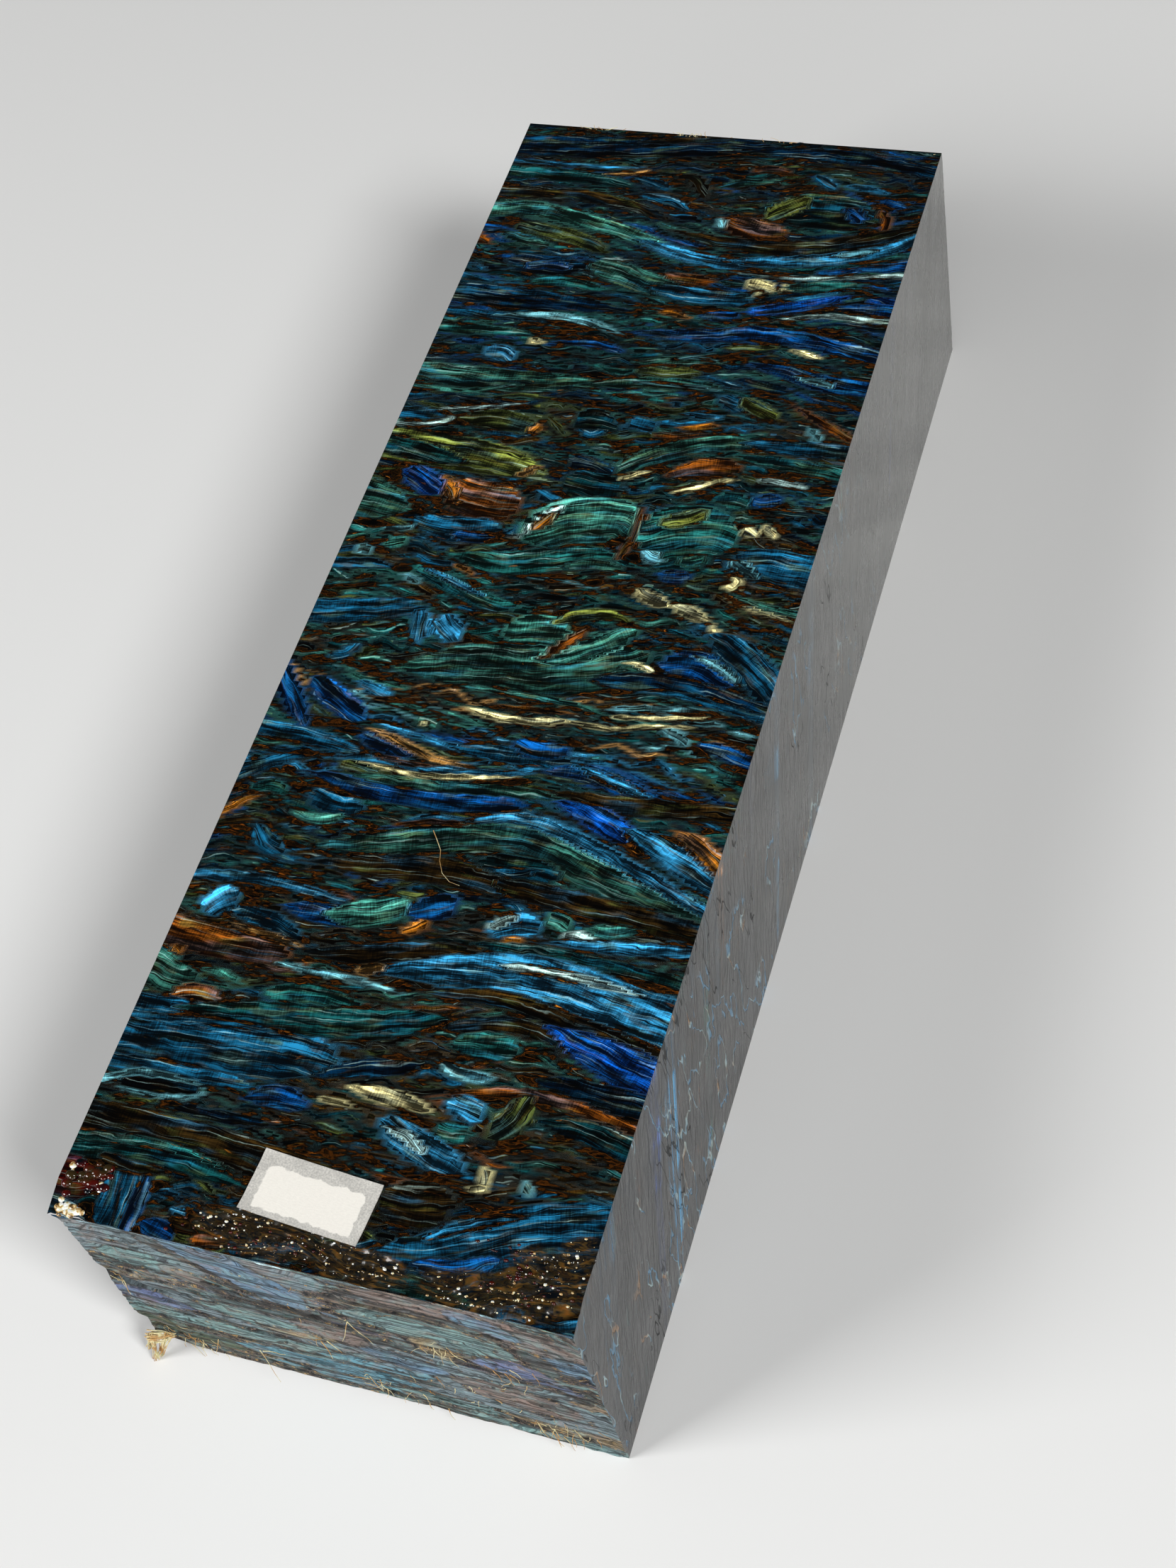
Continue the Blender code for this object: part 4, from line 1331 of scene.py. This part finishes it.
def make_polished():
    material, start = new_finish("polished_face")
    picture, bent = strand_picture(start)
    open_share = start.node("ShaderNodeAttribute", {"attribute_name": "open_grain"}, {}, "Fac")
    crumbs = ramp(
        grain(bent, (1.4, 0.30, 1.4), 3.0), (0.36, "ink"), (0.46, "umber"), (0.52, "ink"),
        (0.60, "bark"), (0.72, "rust"),
    )
    picture = blend(0.8 * open_share, picture, crumbs)
    scratch = grain(bent, (0.5, 6.0, 0.5), 2.0)
    lift = grain(bent, (3.0, 0.3, 3.0), 2.0)
    bump = bumped(lift, BUFFED_RELIEF, 0.3)
    set_shader(
        start,
        {
            "Base Color": picture,
            "Roughness": 0.10 + 0.08 * scratch + 0.10 * open_share,
            "IOR": 1.52,
            "Normal": bump,
        },
    )
    return material


print("relief of the buffed top:", round(BUFFED_RELIEF / MM, 2), "mm")

# %% [markdown]
# ## The sides
# Sanding leaves fine scratches that scatter light as a grey haze, so the strands show only in
# patches. The grey also stands for a painted reflection of the pale table, which the side mirrors at
# a glancing view: it is thick on the far half, in broad slanting bands of painted sheen and shade,
# and thin near the labelled end, where short pale marks and small dark cracks run up and down. Such
# a line is where soft noise passes its middle value: a thin step about 0.5 turns noise into
# wandering lines.

# %% The sanded sides
HAZE_AND_SHEEN_GREY = (0.60, 0.60, 0.57, 1.0)
SHEEN_BAND_SIZE = (0.011, 0.02, 1.0)
MARK_SIZE = (0.004, 0.0034, 0.0100)
CRACK_SIZE = (0.004, 0.0022, 0.0090)
SATIN_RELIEF = 0.0002


def make_satin():
    material, start = new_finish("satin_face")
    picture, bent = strand_picture(start)
    place = start.node("ShaderNodeTexCoord", {}, {}, "Object")
    along = place.node("ShaderNodeSeparateXYZ", {}, {0: place}, "Y")
    slope = along + along.output("Z")
    slope = place.node("ShaderNodeCombineXYZ", {}, {"X": slope, "Y": along.output("X")})
    # painted reflection and shade: the grey haze grows towards the far end and varies in slanting bands,
    # standing for sanding haze and for the pale table mirrored in the side
    painted_sheen_far_half = rise(along, -0.045, 0.055)
    near_half = 1 - rise(along, -0.005, 0.040)
    bands = grain(slope, SHEEN_BAND_SIZE, 2.0) - 0.5
    haze_and_painted_sheen = 0.03 + 0.26 * painted_sheen_far_half + (0.10 + 0.40 * painted_sheen_far_half) * bands
    line = 1 - rise(abs(grain(place, MARK_SIZE, 3.0) - 0.5), 0.005, 0.016)
    patch = rise(grain(place, (0.008, 0.010, 0.011), 1.0, (3.0, 0.0, 0.0)), 0.46, 0.54)
    marks = line * patch * near_half
    split = 1 - rise(abs(grain(place, CRACK_SIZE, 2.0, (7.0, 0.0, 0.0)) - 0.5), 0.003, 0.010)
    where = rise(grain(place, (0.01, 0.008, 0.008), 1.0, (5.0, 0.0, 0.0)), 0.54, 0.62)
    cracks = split * where * near_half
    tints = ramp(grain(place, (0.004, 0.004, 0.004), 1.0), (0.34, "gold"), (0.42, "pale"), (0.52, "sky"))
    seen = rise(grain(place, (0.008, 0.006, 0.006), 2.0), 0.50, 0.60) * near_half
    face = blend(0.10 + 0.60 * seen, colour_of("ink"), picture)
    face = blend(0.60 * marks, face, tints)
    wear = grain(bent, (0.35, 5.0, 5.0), 2.0)
    height = grain(bent, (1.6, 0.5, 4.0), 2.0) - 0.8 * marks - 1.2 * cracks
    bump = bumped(height, SATIN_RELIEF, 0.8)
    set_shader(
        start,
        {
            "Base Color": dimmed(blend(haze_and_painted_sheen, face, HAZE_AND_SHEEN_GREY), 1 - 0.7 * cracks),
            "Roughness": 0.20 + 0.14 * wear + 0.3 * cracks,
            "IOR": 1.50,
            "Normal": bump,
        },
    )
    return material


print("relief of the sanded sides:", round(SATIN_RELIEF / MM, 2), "mm")

# %% [markdown]
# ## The sawn ends
# The ends are raw from the saw. Torn fibre scatters light, so its colours look chalky, crumbs have
# broken out between the lenses, and the saw's fine lines lie level across the face and catch
# shadow. Along the upper edge a thin lip of resin lets the colours of the top show through. The
# far end has no strands of its own, so noise gives it lenses of the same kind.

# %% The sawn ends
CHALK = (
    (0.30, "shadow_green"), (0.42, "chalk_grey"), (0.50, "chalk_teal"), (0.58, "chalk_rose"),
    (0.66, "chalk_grey"), (0.74, "chalk_sand"),
)
TORN = (
    (0.42, "ink"), (0.48, "shadow_brown"), (0.52, "chalk_rose"), (0.55, "umber"),
    (0.60, "shadow_green"), (0.66, "straw"),
)
SAW_LINES = (0.011, 1.0, 0.00030)
LIP = (0.0275, 0.0278)
SAWN_RELIEF = 0.0003


def make_sawn():
    material, start = new_finish("sawn_face")
    picture, bent = strand_picture(start)
    place = start.node("ShaderNodeAttribute", {"attribute_name": "strand_place"}, {}, "Vector")
    dye = start.node("ShaderNodeAttribute", {"attribute_name": "strand_tone"}, {}, "Color")
    edge = place.node("ShaderNodeSeparateXYZ", {}, {0: place}, "Z")
    sawn = start.node("ShaderNodeTexCoord", {}, {}, "Object")
    far_end = rise(sawn.node("ShaderNodeSeparateXYZ", {}, {0: sawn}, "Y"), 0.0, 0.01)
    lenses = 2.6 * (grain(bent, (6.0, 1.1, 6.0), 2.0, (0.0, 6.0, 0.0)) - 0.5) + 0.16
    inside = edge + 0.9 * (grain(bent, (1.6, 0.5, 1.6), 3.0, (0.0, 3.0, 0.0)) - 0.5) - 0.06
    inside = far_end * lenses + (1 - far_end) * inside
    torn = ramp(grain(bent, (0.55, 0.22, 0.55), 2.0), *TORN)
    chalk = ramp(grain(bent, (6.0, 0.7, 6.0), 2.0, (1.0, 2.0, 0.0)), *CHALK)
    patches = rise(grain(bent, (2.5, 0.8, 2.5), 3.0, (4.0, 0.0, 0.0)), 0.40, 0.60)
    face = blend(far_end + (1 - far_end) * (0.20 + 0.40 * patches), dye, chalk)
    face = blend(rise(inside, -0.25, 0.25), torn, face)
    crumbs = rise(grain(bent, (1.1, 0.28, 1.1), 3.0, (0.0, 0.0, 2.0)), 0.60, 0.68)
    face = blend(0.75 * crumbs, face, torn)
    lines = grain(bent, (8.0, 0.13, 8.0), 3.0)
    fuzz = grain(bent, (0.35, 0.12, 0.35), 2.0)
    lit = rise(grain(sawn, SAW_LINES, 3.0), 0.38, 0.50)
    shade = (0.34 + 0.78 * rise(lines, 0.36, 0.52)) * (0.60 + 0.72 * fuzz) * (0.36 + 0.72 * lit)
    height = lines + 0.7 * fuzz + 1.2 * lit
    level = sawn.node("ShaderNodeSeparateXYZ", {}, {0: sawn}, "Z")
    lip = rise(level + 0.0012 * (grain(bent, (1.5, 0.6, 1.5), 2.0) - 0.5), *LIP)
    colour = blend(0.85 * lip, dimmed(face, 0.70 * shade), dimmed(picture, 1.6))
    bump = bumped(height, SAWN_RELIEF, 0.8)
    set_shader(start, {"Base Color": colour, "Roughness": 0.82, "IOR": 1.45, "Normal": bump})
    return material


finishes = [make_polished(), make_satin(), make_sawn()]
print("finishes:", [finish.name for finish in finishes])

# %% [markdown]
# ## The block as a piece
# Faces are shaded smooth, so that the cells don't show, but an edge that turns by more than 38
# degrees stays sharp. The faces that gained corners when their neighbours were cut are
# triangulated, and the places worked out above go on the mesh for the finishes to read.

# %% Make the block a piece of the scene
SHARP = math.radians(38)
for face in block.faces:
    face.smooth = True
for edge in block.edges:
    edge.smooth = edge.is_manifold and edge.calc_face_angle(0.0) < SHARP
bmesh.ops.triangulate(block, faces=[face for face in block.faces if len(face.verts) > 4])
blank = finished(block, "pressed_strand_block", finishes, ["blank"])
keep(blank.data, "layer_place", "FLOAT_VECTOR", "vector", layer_place)
keep(blank.data, "strand_place", "FLOAT_VECTOR", "vector", both("in_strand"))
keep(blank.data, "strand_tone", "FLOAT_COLOR", "color", both("tone"))
keep(blank.data, "open_grain", "FLOAT", "value", openness)

# %% [markdown]
# ## The paper label
# A small rectangle of plain paper is glued near one end, turned about five degrees. Its edge has
# soaked up some glue and looks greyer and thinner than the middle. It is a grid, curled a little
# at the corners, and `solidify` gives it the thickness of paper. Its finish reads how far each
# point lies inside the dry part.

# %% Make the label
LABEL_SIZE = Vector((10.7, 5.4))
LABEL_CENTRE = Vector((-1.15, -58.9))
LABEL_TURN = math.radians(-5.2)
PAPER = 0.10
LABEL_LIFT = 0.20
CURL = 0.12
GLUED = (0.26, 0.26, 0.25, 1.0)
DRY_PAPER = (0.87, 0.84, 0.77, 1.0)
MARGINS = Vector((0.25, 0.15))
WHITE_DROP = 0.35


def make_paper():
    material, start = new_finish("label_paper")
    place = start.node("ShaderNodeAttribute", {"attribute_name": "label_place"}, {}, "Vector")
    border = place.node("ShaderNodeSeparateXYZ", {}, {0: place}, "Z")
    ragged = border + 0.9 * (grain(place, (1.1, 1.1, FAR), 3.0) - 0.5)
    pulp = grain(place, (0.35, 0.12, FAR), 3.0)
    fibres = grain(place, (0.08, 0.6, FAR), 2.0)
    specks = grain(place, (0.16, 0.16, FAR), 2.0)
    dry = rise(ragged, 0.66, 0.78)
    glue = dimmed(blend(specks, GLUED, DRY_PAPER), 0.72 + 0.56 * grain(place, (1.8, 1.8, FAR), 3.0))
    colour = dimmed(blend(dry, glue, DRY_PAPER), 0.88 + 0.14 * pulp + 0.08 * fibres)
    bump = bumped(pulp + fibres, 0.00002, 0.5)
    set_shader(start, {"Base Color": colour, "Roughness": 0.75 - 0.25 * (1 - dry), "Normal": bump})
    return material


label = bmesh.new()
bmesh.ops.create_grid(label, x_segments=44, y_segments=22, size=0.5)
bmesh.ops.scale(label, vec=(*LABEL_SIZE, 1), verts=label.verts)
for vert in label.verts:
    share = Vector((abs(vert.co.x) / LABEL_SIZE.x, abs(vert.co.y) / LABEL_SIZE.y)) * 2
    vert.co.z = CURL * (share.x * share.y) ** 4 + 0.03 * lump(vert.co.x / 3, vert.co.y / 3, 9)
    if max(share) > 0.999:
        vert.co.xy *= 1 - 0.012 * lump(vert.co.x * 1.7, vert.co.y * 1.7, 2)
bmesh.ops.solidify(label, geom=label.faces[:], thickness=PAPER)
bmesh.ops.recalc_face_normals(label, faces=label.faces)
label_place = []
for vert in label.verts:
    drop = vert.co.y + WHITE_DROP
    border = min(LABEL_SIZE.x / 2 - MARGINS.x - abs(vert.co.x), LABEL_SIZE.y / 2 - MARGINS.y - abs(drop))
    label_place.append((vert.co.x, vert.co.y, border))
spin_label = Matrix.Rotation(LABEL_TURN, 4, "Z")
put_label = Matrix.Translation((*LABEL_CENTRE, TOP + LABEL_LIFT))
bmesh.ops.transform(label, matrix=put_label @ spin_label, verts=label.verts)
paper = finished(label, "paper_label", [make_paper()], ["label"])
keep(paper.data, "label_place", "FLOAT_VECTOR", "vector", label_place)

# %% [markdown]
# ## Loose fibres
# Where the saw tore the wood, single fibres stand off. Each one here is a thin four-sided tube
# that tapers to its tip: a small capped circle, extruded from point to point along a drooping
# line.

# %% Grow one fibre
SIDES = 4


def fibre(bm, line, radius):
    """A closed tube along a line of points, tapering to its tip."""
    first = (line[1] - line[0]).to_track_quat("Z", "Y").to_matrix().to_4x4()
    made = bmesh.ops.create_circle(
        bm, cap_ends=True, segments=SIDES, radius=radius, matrix=Matrix.Translation(line[0]) @ first
    )
    cap = made["verts"][0].link_faces[0]
    for number, (here, there) in enumerate(zip(line, line[1:]), 1):
        grown = bmesh.ops.extrude_face_region(bm, geom=[cap])["geom"]
        cap = next(part for part in grown if isinstance(part, bmesh.types.BMFace))
        bmesh.ops.translate(bm, vec=there - here, verts=cap.verts)
        shrink = 1 - 0.75 / (len(line) - 1)
        around = Matrix.Translation(-cap.calc_center_median())
        bmesh.ops.scale(bm, vec=(shrink,) * 3, space=around, verts=cap.verts)


def wavy(start, end, sway, droop, steps, rng):
    """Points from a start to an end, swaying to the sides and sagging in the middle."""
    side = (end - start).orthogonal().normalized()
    other = (end - start).normalized().cross(side)
    phase = (rng.uniform(0, math.tau), rng.uniform(0, math.tau))
    line = []
    for t in (k / steps for k in range(steps + 1)):
        swing = side * math.sin(phase[0] + 4.2 * t) + other * math.sin(phase[1] + 5.3 * t)
        line.append(start.lerp(end, t) + swing * sway * t + Vector((0, 0, -droop * 4 * t * (1 - t))))
    return line


def make_fibre_finish():
    material, start = new_finish("bare_fibre")
    place = start.node("ShaderNodeTexCoord", {}, {}, "Object")
    patches = grain(place, (0.0016, 0.0016, 0.0016), 2.0)
    colour = ramp(patches, (0.32, "gold"), (0.46, "straw"), (0.56, "cream"), (0.68, "straw"))
    fine = grain(place, (0.0002, 0.0002, 0.0008), 2.0)
    set_shader(start, {"Base Color": dimmed(colour, 0.65 + 0.6 * fine), "Roughness": 0.6})
    return material


fibre_finish = make_fibre_finish()
print("fibres have", SIDES, "sides")

# %% [markdown]
# ## The frayed strand
# At the foot of the left corner one strand came loose when the block was sawn. It is a knot of
# fibres with three legs, of which two reach down to the table. Each of the four is a bundle of
# single fibres from nearly the same start to nearly the same tip, so that they lie close and
# cross, as frayed wood does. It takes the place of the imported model's plain one.

# %% The frayed strand at the foot
FRAY_LEGS = (  # start, tip, radius at the start, how many fibres
    ((-21.5, -65.65, 3.5), (-18.7, -65.45, 5.0), 0.62, 26),
    ((-21.2, -65.65, 3.7), (-22.3, -65.90, 0.9), 0.42, 12),
    ((-21.0, -65.65, 3.8), (-21.65, -66.45, 0.15), 0.40, 14),
    ((-19.3, -65.60, 4.7), (-21.40, -66.20, 0.15), 0.40, 14),
)
FRAY_RADIUS = 0.085
rng = Random(4)
fray = bmesh.new()
for start, tip, radius, count in FRAY_LEGS:
    for _ in range(count):
        off = Vector((rng.gauss(0, 0.5), rng.gauss(0, 0.35), rng.gauss(0, 0.5))) * radius
        root_end, tip_end = Vector(start) + off, Vector(tip) + off * 0.45
        root_end.y = max(root_end.y, -66.3)
        tip_end.z = max(tip_end.z, FRAY_RADIUS)
        line = wavy(root_end, tip_end, 0.16, 0.05, 7, rng)
        fibre(fray, line, FRAY_RADIUS * rng.uniform(0.6, 1.2))
bmesh.ops.recalc_face_normals(fray, faces=fray.faces)
lowest = min(vert.co.z for vert in fray.verts)
bmesh.ops.translate(fray, vec=(0, 0, max(0.0, -lowest)), verts=fray.verts)
finished(fray, "frayed_fibres", [fibre_finish], ["frayed_strand"])

# %% [markdown]
# ## Torn fibres on the sawn end
# Fibres stand off the sawn end in tufts, mostly near the foot and where soft strands were cut.
# Each tuft is given by its place, its spread and how many fibres it has, and each fibre starts
# close to the sawn face, by the same sum that shaped the face.

# %% Fibres on the sawn end
TUFTS = (  # middle across, height, spread, count, length
    (8.6, 17.0, 1.4, 16, 1.5), (1.5, 18.6, 0.4, 3, 3.4), (16.5, 3.2, 4.2, 34, 1.6),
    (15.0, 15.6, 2.4, 7, 1.3), (-10.4, 4.8, 0.3, 2, 3.0), (0.4, 4.4, 1.6, 9, 2.6),
    (-2.4, 12.2, 1.2, 5, 1.8), (-20.4, 15.4, 0.7, 9, 1.4), (-17.0, 3.4, 3.0, 26, 1.7),
    (11.5, 8.4, 6.0, 12, 1.2), (-4.0, 20.0, 9.0, 12, 1.0), (5.0, 2.6, 6.0, 12, 1.7),
)
HAIR_RADIUS = 0.035
hairs = bmesh.new()
for across, height, spread, count, length in TUFTS:
    for _ in range(count):
        x = min(RIGHT - 0.3, max(LEFT + 1.6, rng.gauss(across, spread / 2)))
        z = min(TOP - 0.6, max(1.6, rng.gauss(height, 0.35 * spread)))
        root_end = Vector((x, FRONT + sawn_depth(x, z, 1) * 0.8, z))
        lean = Vector((rng.gauss(0.25, 0.45), -rng.uniform(0.10, 0.45), rng.choice((1, -1)) * 1.0))
        reach = lean.normalized() * length * rng.uniform(0.5, 1.3)
        tip_end = root_end + reach
        tip_end.z = max(0.4, tip_end.z)
        line = wavy(root_end, tip_end, 0.12, 0.0, 4, rng)
        fibre(hairs, line, HAIR_RADIUS * rng.uniform(0.7, 1.4))
bmesh.ops.recalc_face_normals(hairs, faces=hairs.faces)
finished(hairs, "sawn_end_fibres", [fibre_finish])

# %% [markdown]
# ## Wisps and a stray hair
# The worn far edge of the top has a fringe of short wisps, and one hair lies on the polished top.
# The hair's line was measured, and it lies a tenth of a millimetre up, so that it casts a shadow.

# %% Wisps on the far edge and one hair on the top
WISPS = ((-15.0, 2.6, 22), (-4.0, 1.6, 20), (21.4, 0.7, 9), (6.0, 5.0, 8))  # across, spread, count
WISP_RADIUS = 0.05
STRAY_RADIUS = 0.04
wisps = bmesh.new()
for across, spread, count in WISPS:
    for _ in range(count):
        x = min(RIGHT - 0.2, rng.gauss(across, spread / 2))
        root_end = Vector((x, BACK - 0.5, TOP - rng.uniform(0.1, 0.6)))
        lean = Vector((rng.gauss(0, 1.0), rng.uniform(0.1, 0.5), rng.uniform(0.1, 0.55)))
        line = wavy(root_end, root_end + lean * rng.uniform(0.6, 1.4), 0.16, 0.0, 4, rng)
        fibre(wisps, line, WISP_RADIUS * rng.uniform(0.7, 1.5))
HAIR = ((-2.8, -24.2), (-2.2, -25.0), (-1.5, -26.0), (-1.2, -27.1), (-0.6, -28.2), (0.3, -28.9), (1.3, -29.1))
fibre(wisps, [Vector((x, y, TOP + 0.10)) for x, y in HAIR], STRAY_RADIUS)
bmesh.ops.recalc_face_normals(wisps, faces=wisps.faces)
finished(wisps, "edge_wisps", [fibre_finish])

# %% [markdown]
# ## Beads of resin
# At the left corner of the labelled end the resin pooled in a glossy, ox-blood lump with round
# drops on it, and beads sit in the open grain beside the label. They are small ball-shaped
# drops, sunk in the surface, and so smooth that each one mirrors the lamps.

# %% Make the beads
BEADS = (  # middle across, middle along, spread across, spread along, count, radius
    (-20.2, -61.8, 1.9, 2.0, 26, 0.42), (17.5, -61.0, 4.2, 2.8, 60, 0.17), (-3.0, -63.3, 7.0, 1.3, 50, 0.16),
)
# The white beads are painted highlights of the resin lump at the corner and of its drops.
GLINT_BEADS = (  # the same, for the white ones
    (-20.6, -64.2, 1.7, 0.5, 28, 0.34), (-21.6, -61.2, 0.2, 1.2, 6, 0.26), (-18.7, -62.0, 0.3, 0.6, 3, 0.20),
)


def make_resin():
    material, start = new_finish("resin_beads")
    place = start.node("ShaderNodeTexCoord", {}, {}, "Object")
    tone = ramp(grain(place, (0.002, 0.002, 0.002), 2.0), (0.35, "ink"), (0.50, "oxblood"), (0.62, "umber"))
    set_shader(start, {"Base Color": tone, "Roughness": 0.06, "IOR": 1.55})
    return material


def bead(bm, x, y, size):
    """A flattened ball, sunk a little in the top."""
    place = Vector((x, y, TOP - top_depth(x, y) - 0.25 * size))
    made = bmesh.ops.create_icosphere(bm, subdivisions=2 if size > 0.2 else 1, radius=size)
    bmesh.ops.scale(bm, vec=(1.2, 0.9, 0.75), verts=made["verts"])
    bmesh.ops.translate(bm, vec=place, verts=made["verts"])


def scatter(bm, patches):
    """Beads strewn in patches."""
    for across, along, wide, deep, count, radius in patches:
        for _ in range(count):
            x, y = rng.gauss(across, wide / 2), rng.gauss(along, deep / 2)
            x = min(RIGHT - 0.4, max(LEFT + 0.7, x))
            y = min(FRONT + 9, max(FRONT + 0.4, y))
            bead(bm, x, y, radius * rng.uniform(0.5, 1.25))


beads = bmesh.new()
scatter(beads, BEADS)
for face in beads.faces:
    face.smooth = True
finished(beads, "resin_drops", [make_resin()])

# %% [markdown]
# ## Painted glints
# The burst bubbles of the open grain catch the lamps in tiny glints, and here these glints are
# painted: specks from brown to white that sparkle against the dark. The white beads at the corner
# are painted highlights of the resin lump in the same way. The specks are tiny balls with few
# faces. Each is thrown at random on the first strip of the top, in rows and clumps as the pores
# lie, and stays where the grain is open.

# %% Strew the painted glints
GLINT_COUNT = 460
GLINT_START = 8.5
GLINT_REACH = 8
ROW = 0.55
FINEST = 0.035
COARSER = 0.13


def make_glint_finish():
    material, start = new_finish("painted_glints")
    place = start.node("ShaderNodeTexCoord", {}, {}, "Object")
    size = (0.0005, 0.0005, 0.0005)
    # painted highlights: pale specks stand for the glints of the lamps on the open grain
    tone = ramp(grain(place, size, 2.0), (0.36, "bark"), (0.46, "straw"), (0.52, "cream"), (0.60, "white"))
    set_shader(start, {"Base Color": tone, "Roughness": 0.22, "IOR": 1.5})
    return material


glint_specks = bmesh.new()
scatter(glint_specks, GLINT_BEADS)
grains = 0
while grains < GLINT_COUNT:
    x, y = rng.uniform(LEFT + GLINT_START, RIGHT - 0.2), rng.uniform(FRONT + 0.4, FRONT + GLINT_REACH)
    y = ROW * round(y / ROW) + rng.gauss(0.0, 0.08)
    clump = math.sin(1.7 * x) * math.sin(2.3 * y + x)
    if open_grain(x, y) > rng.uniform(0.3, 1.0) and clump > rng.uniform(-1.0, 0.9):
        bead(glint_specks, x, y, FINEST + COARSER * rng.random() ** 4)
        grains += 1
finished(glint_specks, "painted_glints", [make_glint_finish()])

# %% [markdown]
# ## The table
# The table is one plain pale sheet, large enough for every view. It is stage, not part of the
# object.

# %% Lay the table
TABLE_HALF = 2500.0
PALE = (0.80, 0.80, 0.79, 1.0)


def make_table_finish():
    material, start = new_finish("pale_table")
    set_shader(start, {"Base Color": PALE, "Roughness": 0.55})
    return material


table_mesh = bpy.data.meshes.new("table")
sheet = bmesh.new()
bmesh.ops.create_grid(sheet, x_segments=1, y_segments=1, size=TABLE_HALF * MM)
sheet.to_mesh(table_mesh)
sheet.free()
table_mesh.materials.append(make_table_finish())
table = bpy.data.objects.new("table", table_mesh)
bpy.context.scene.collection.objects.link(table)
print("table is", 2 * TABLE_HALF, "mm wide")
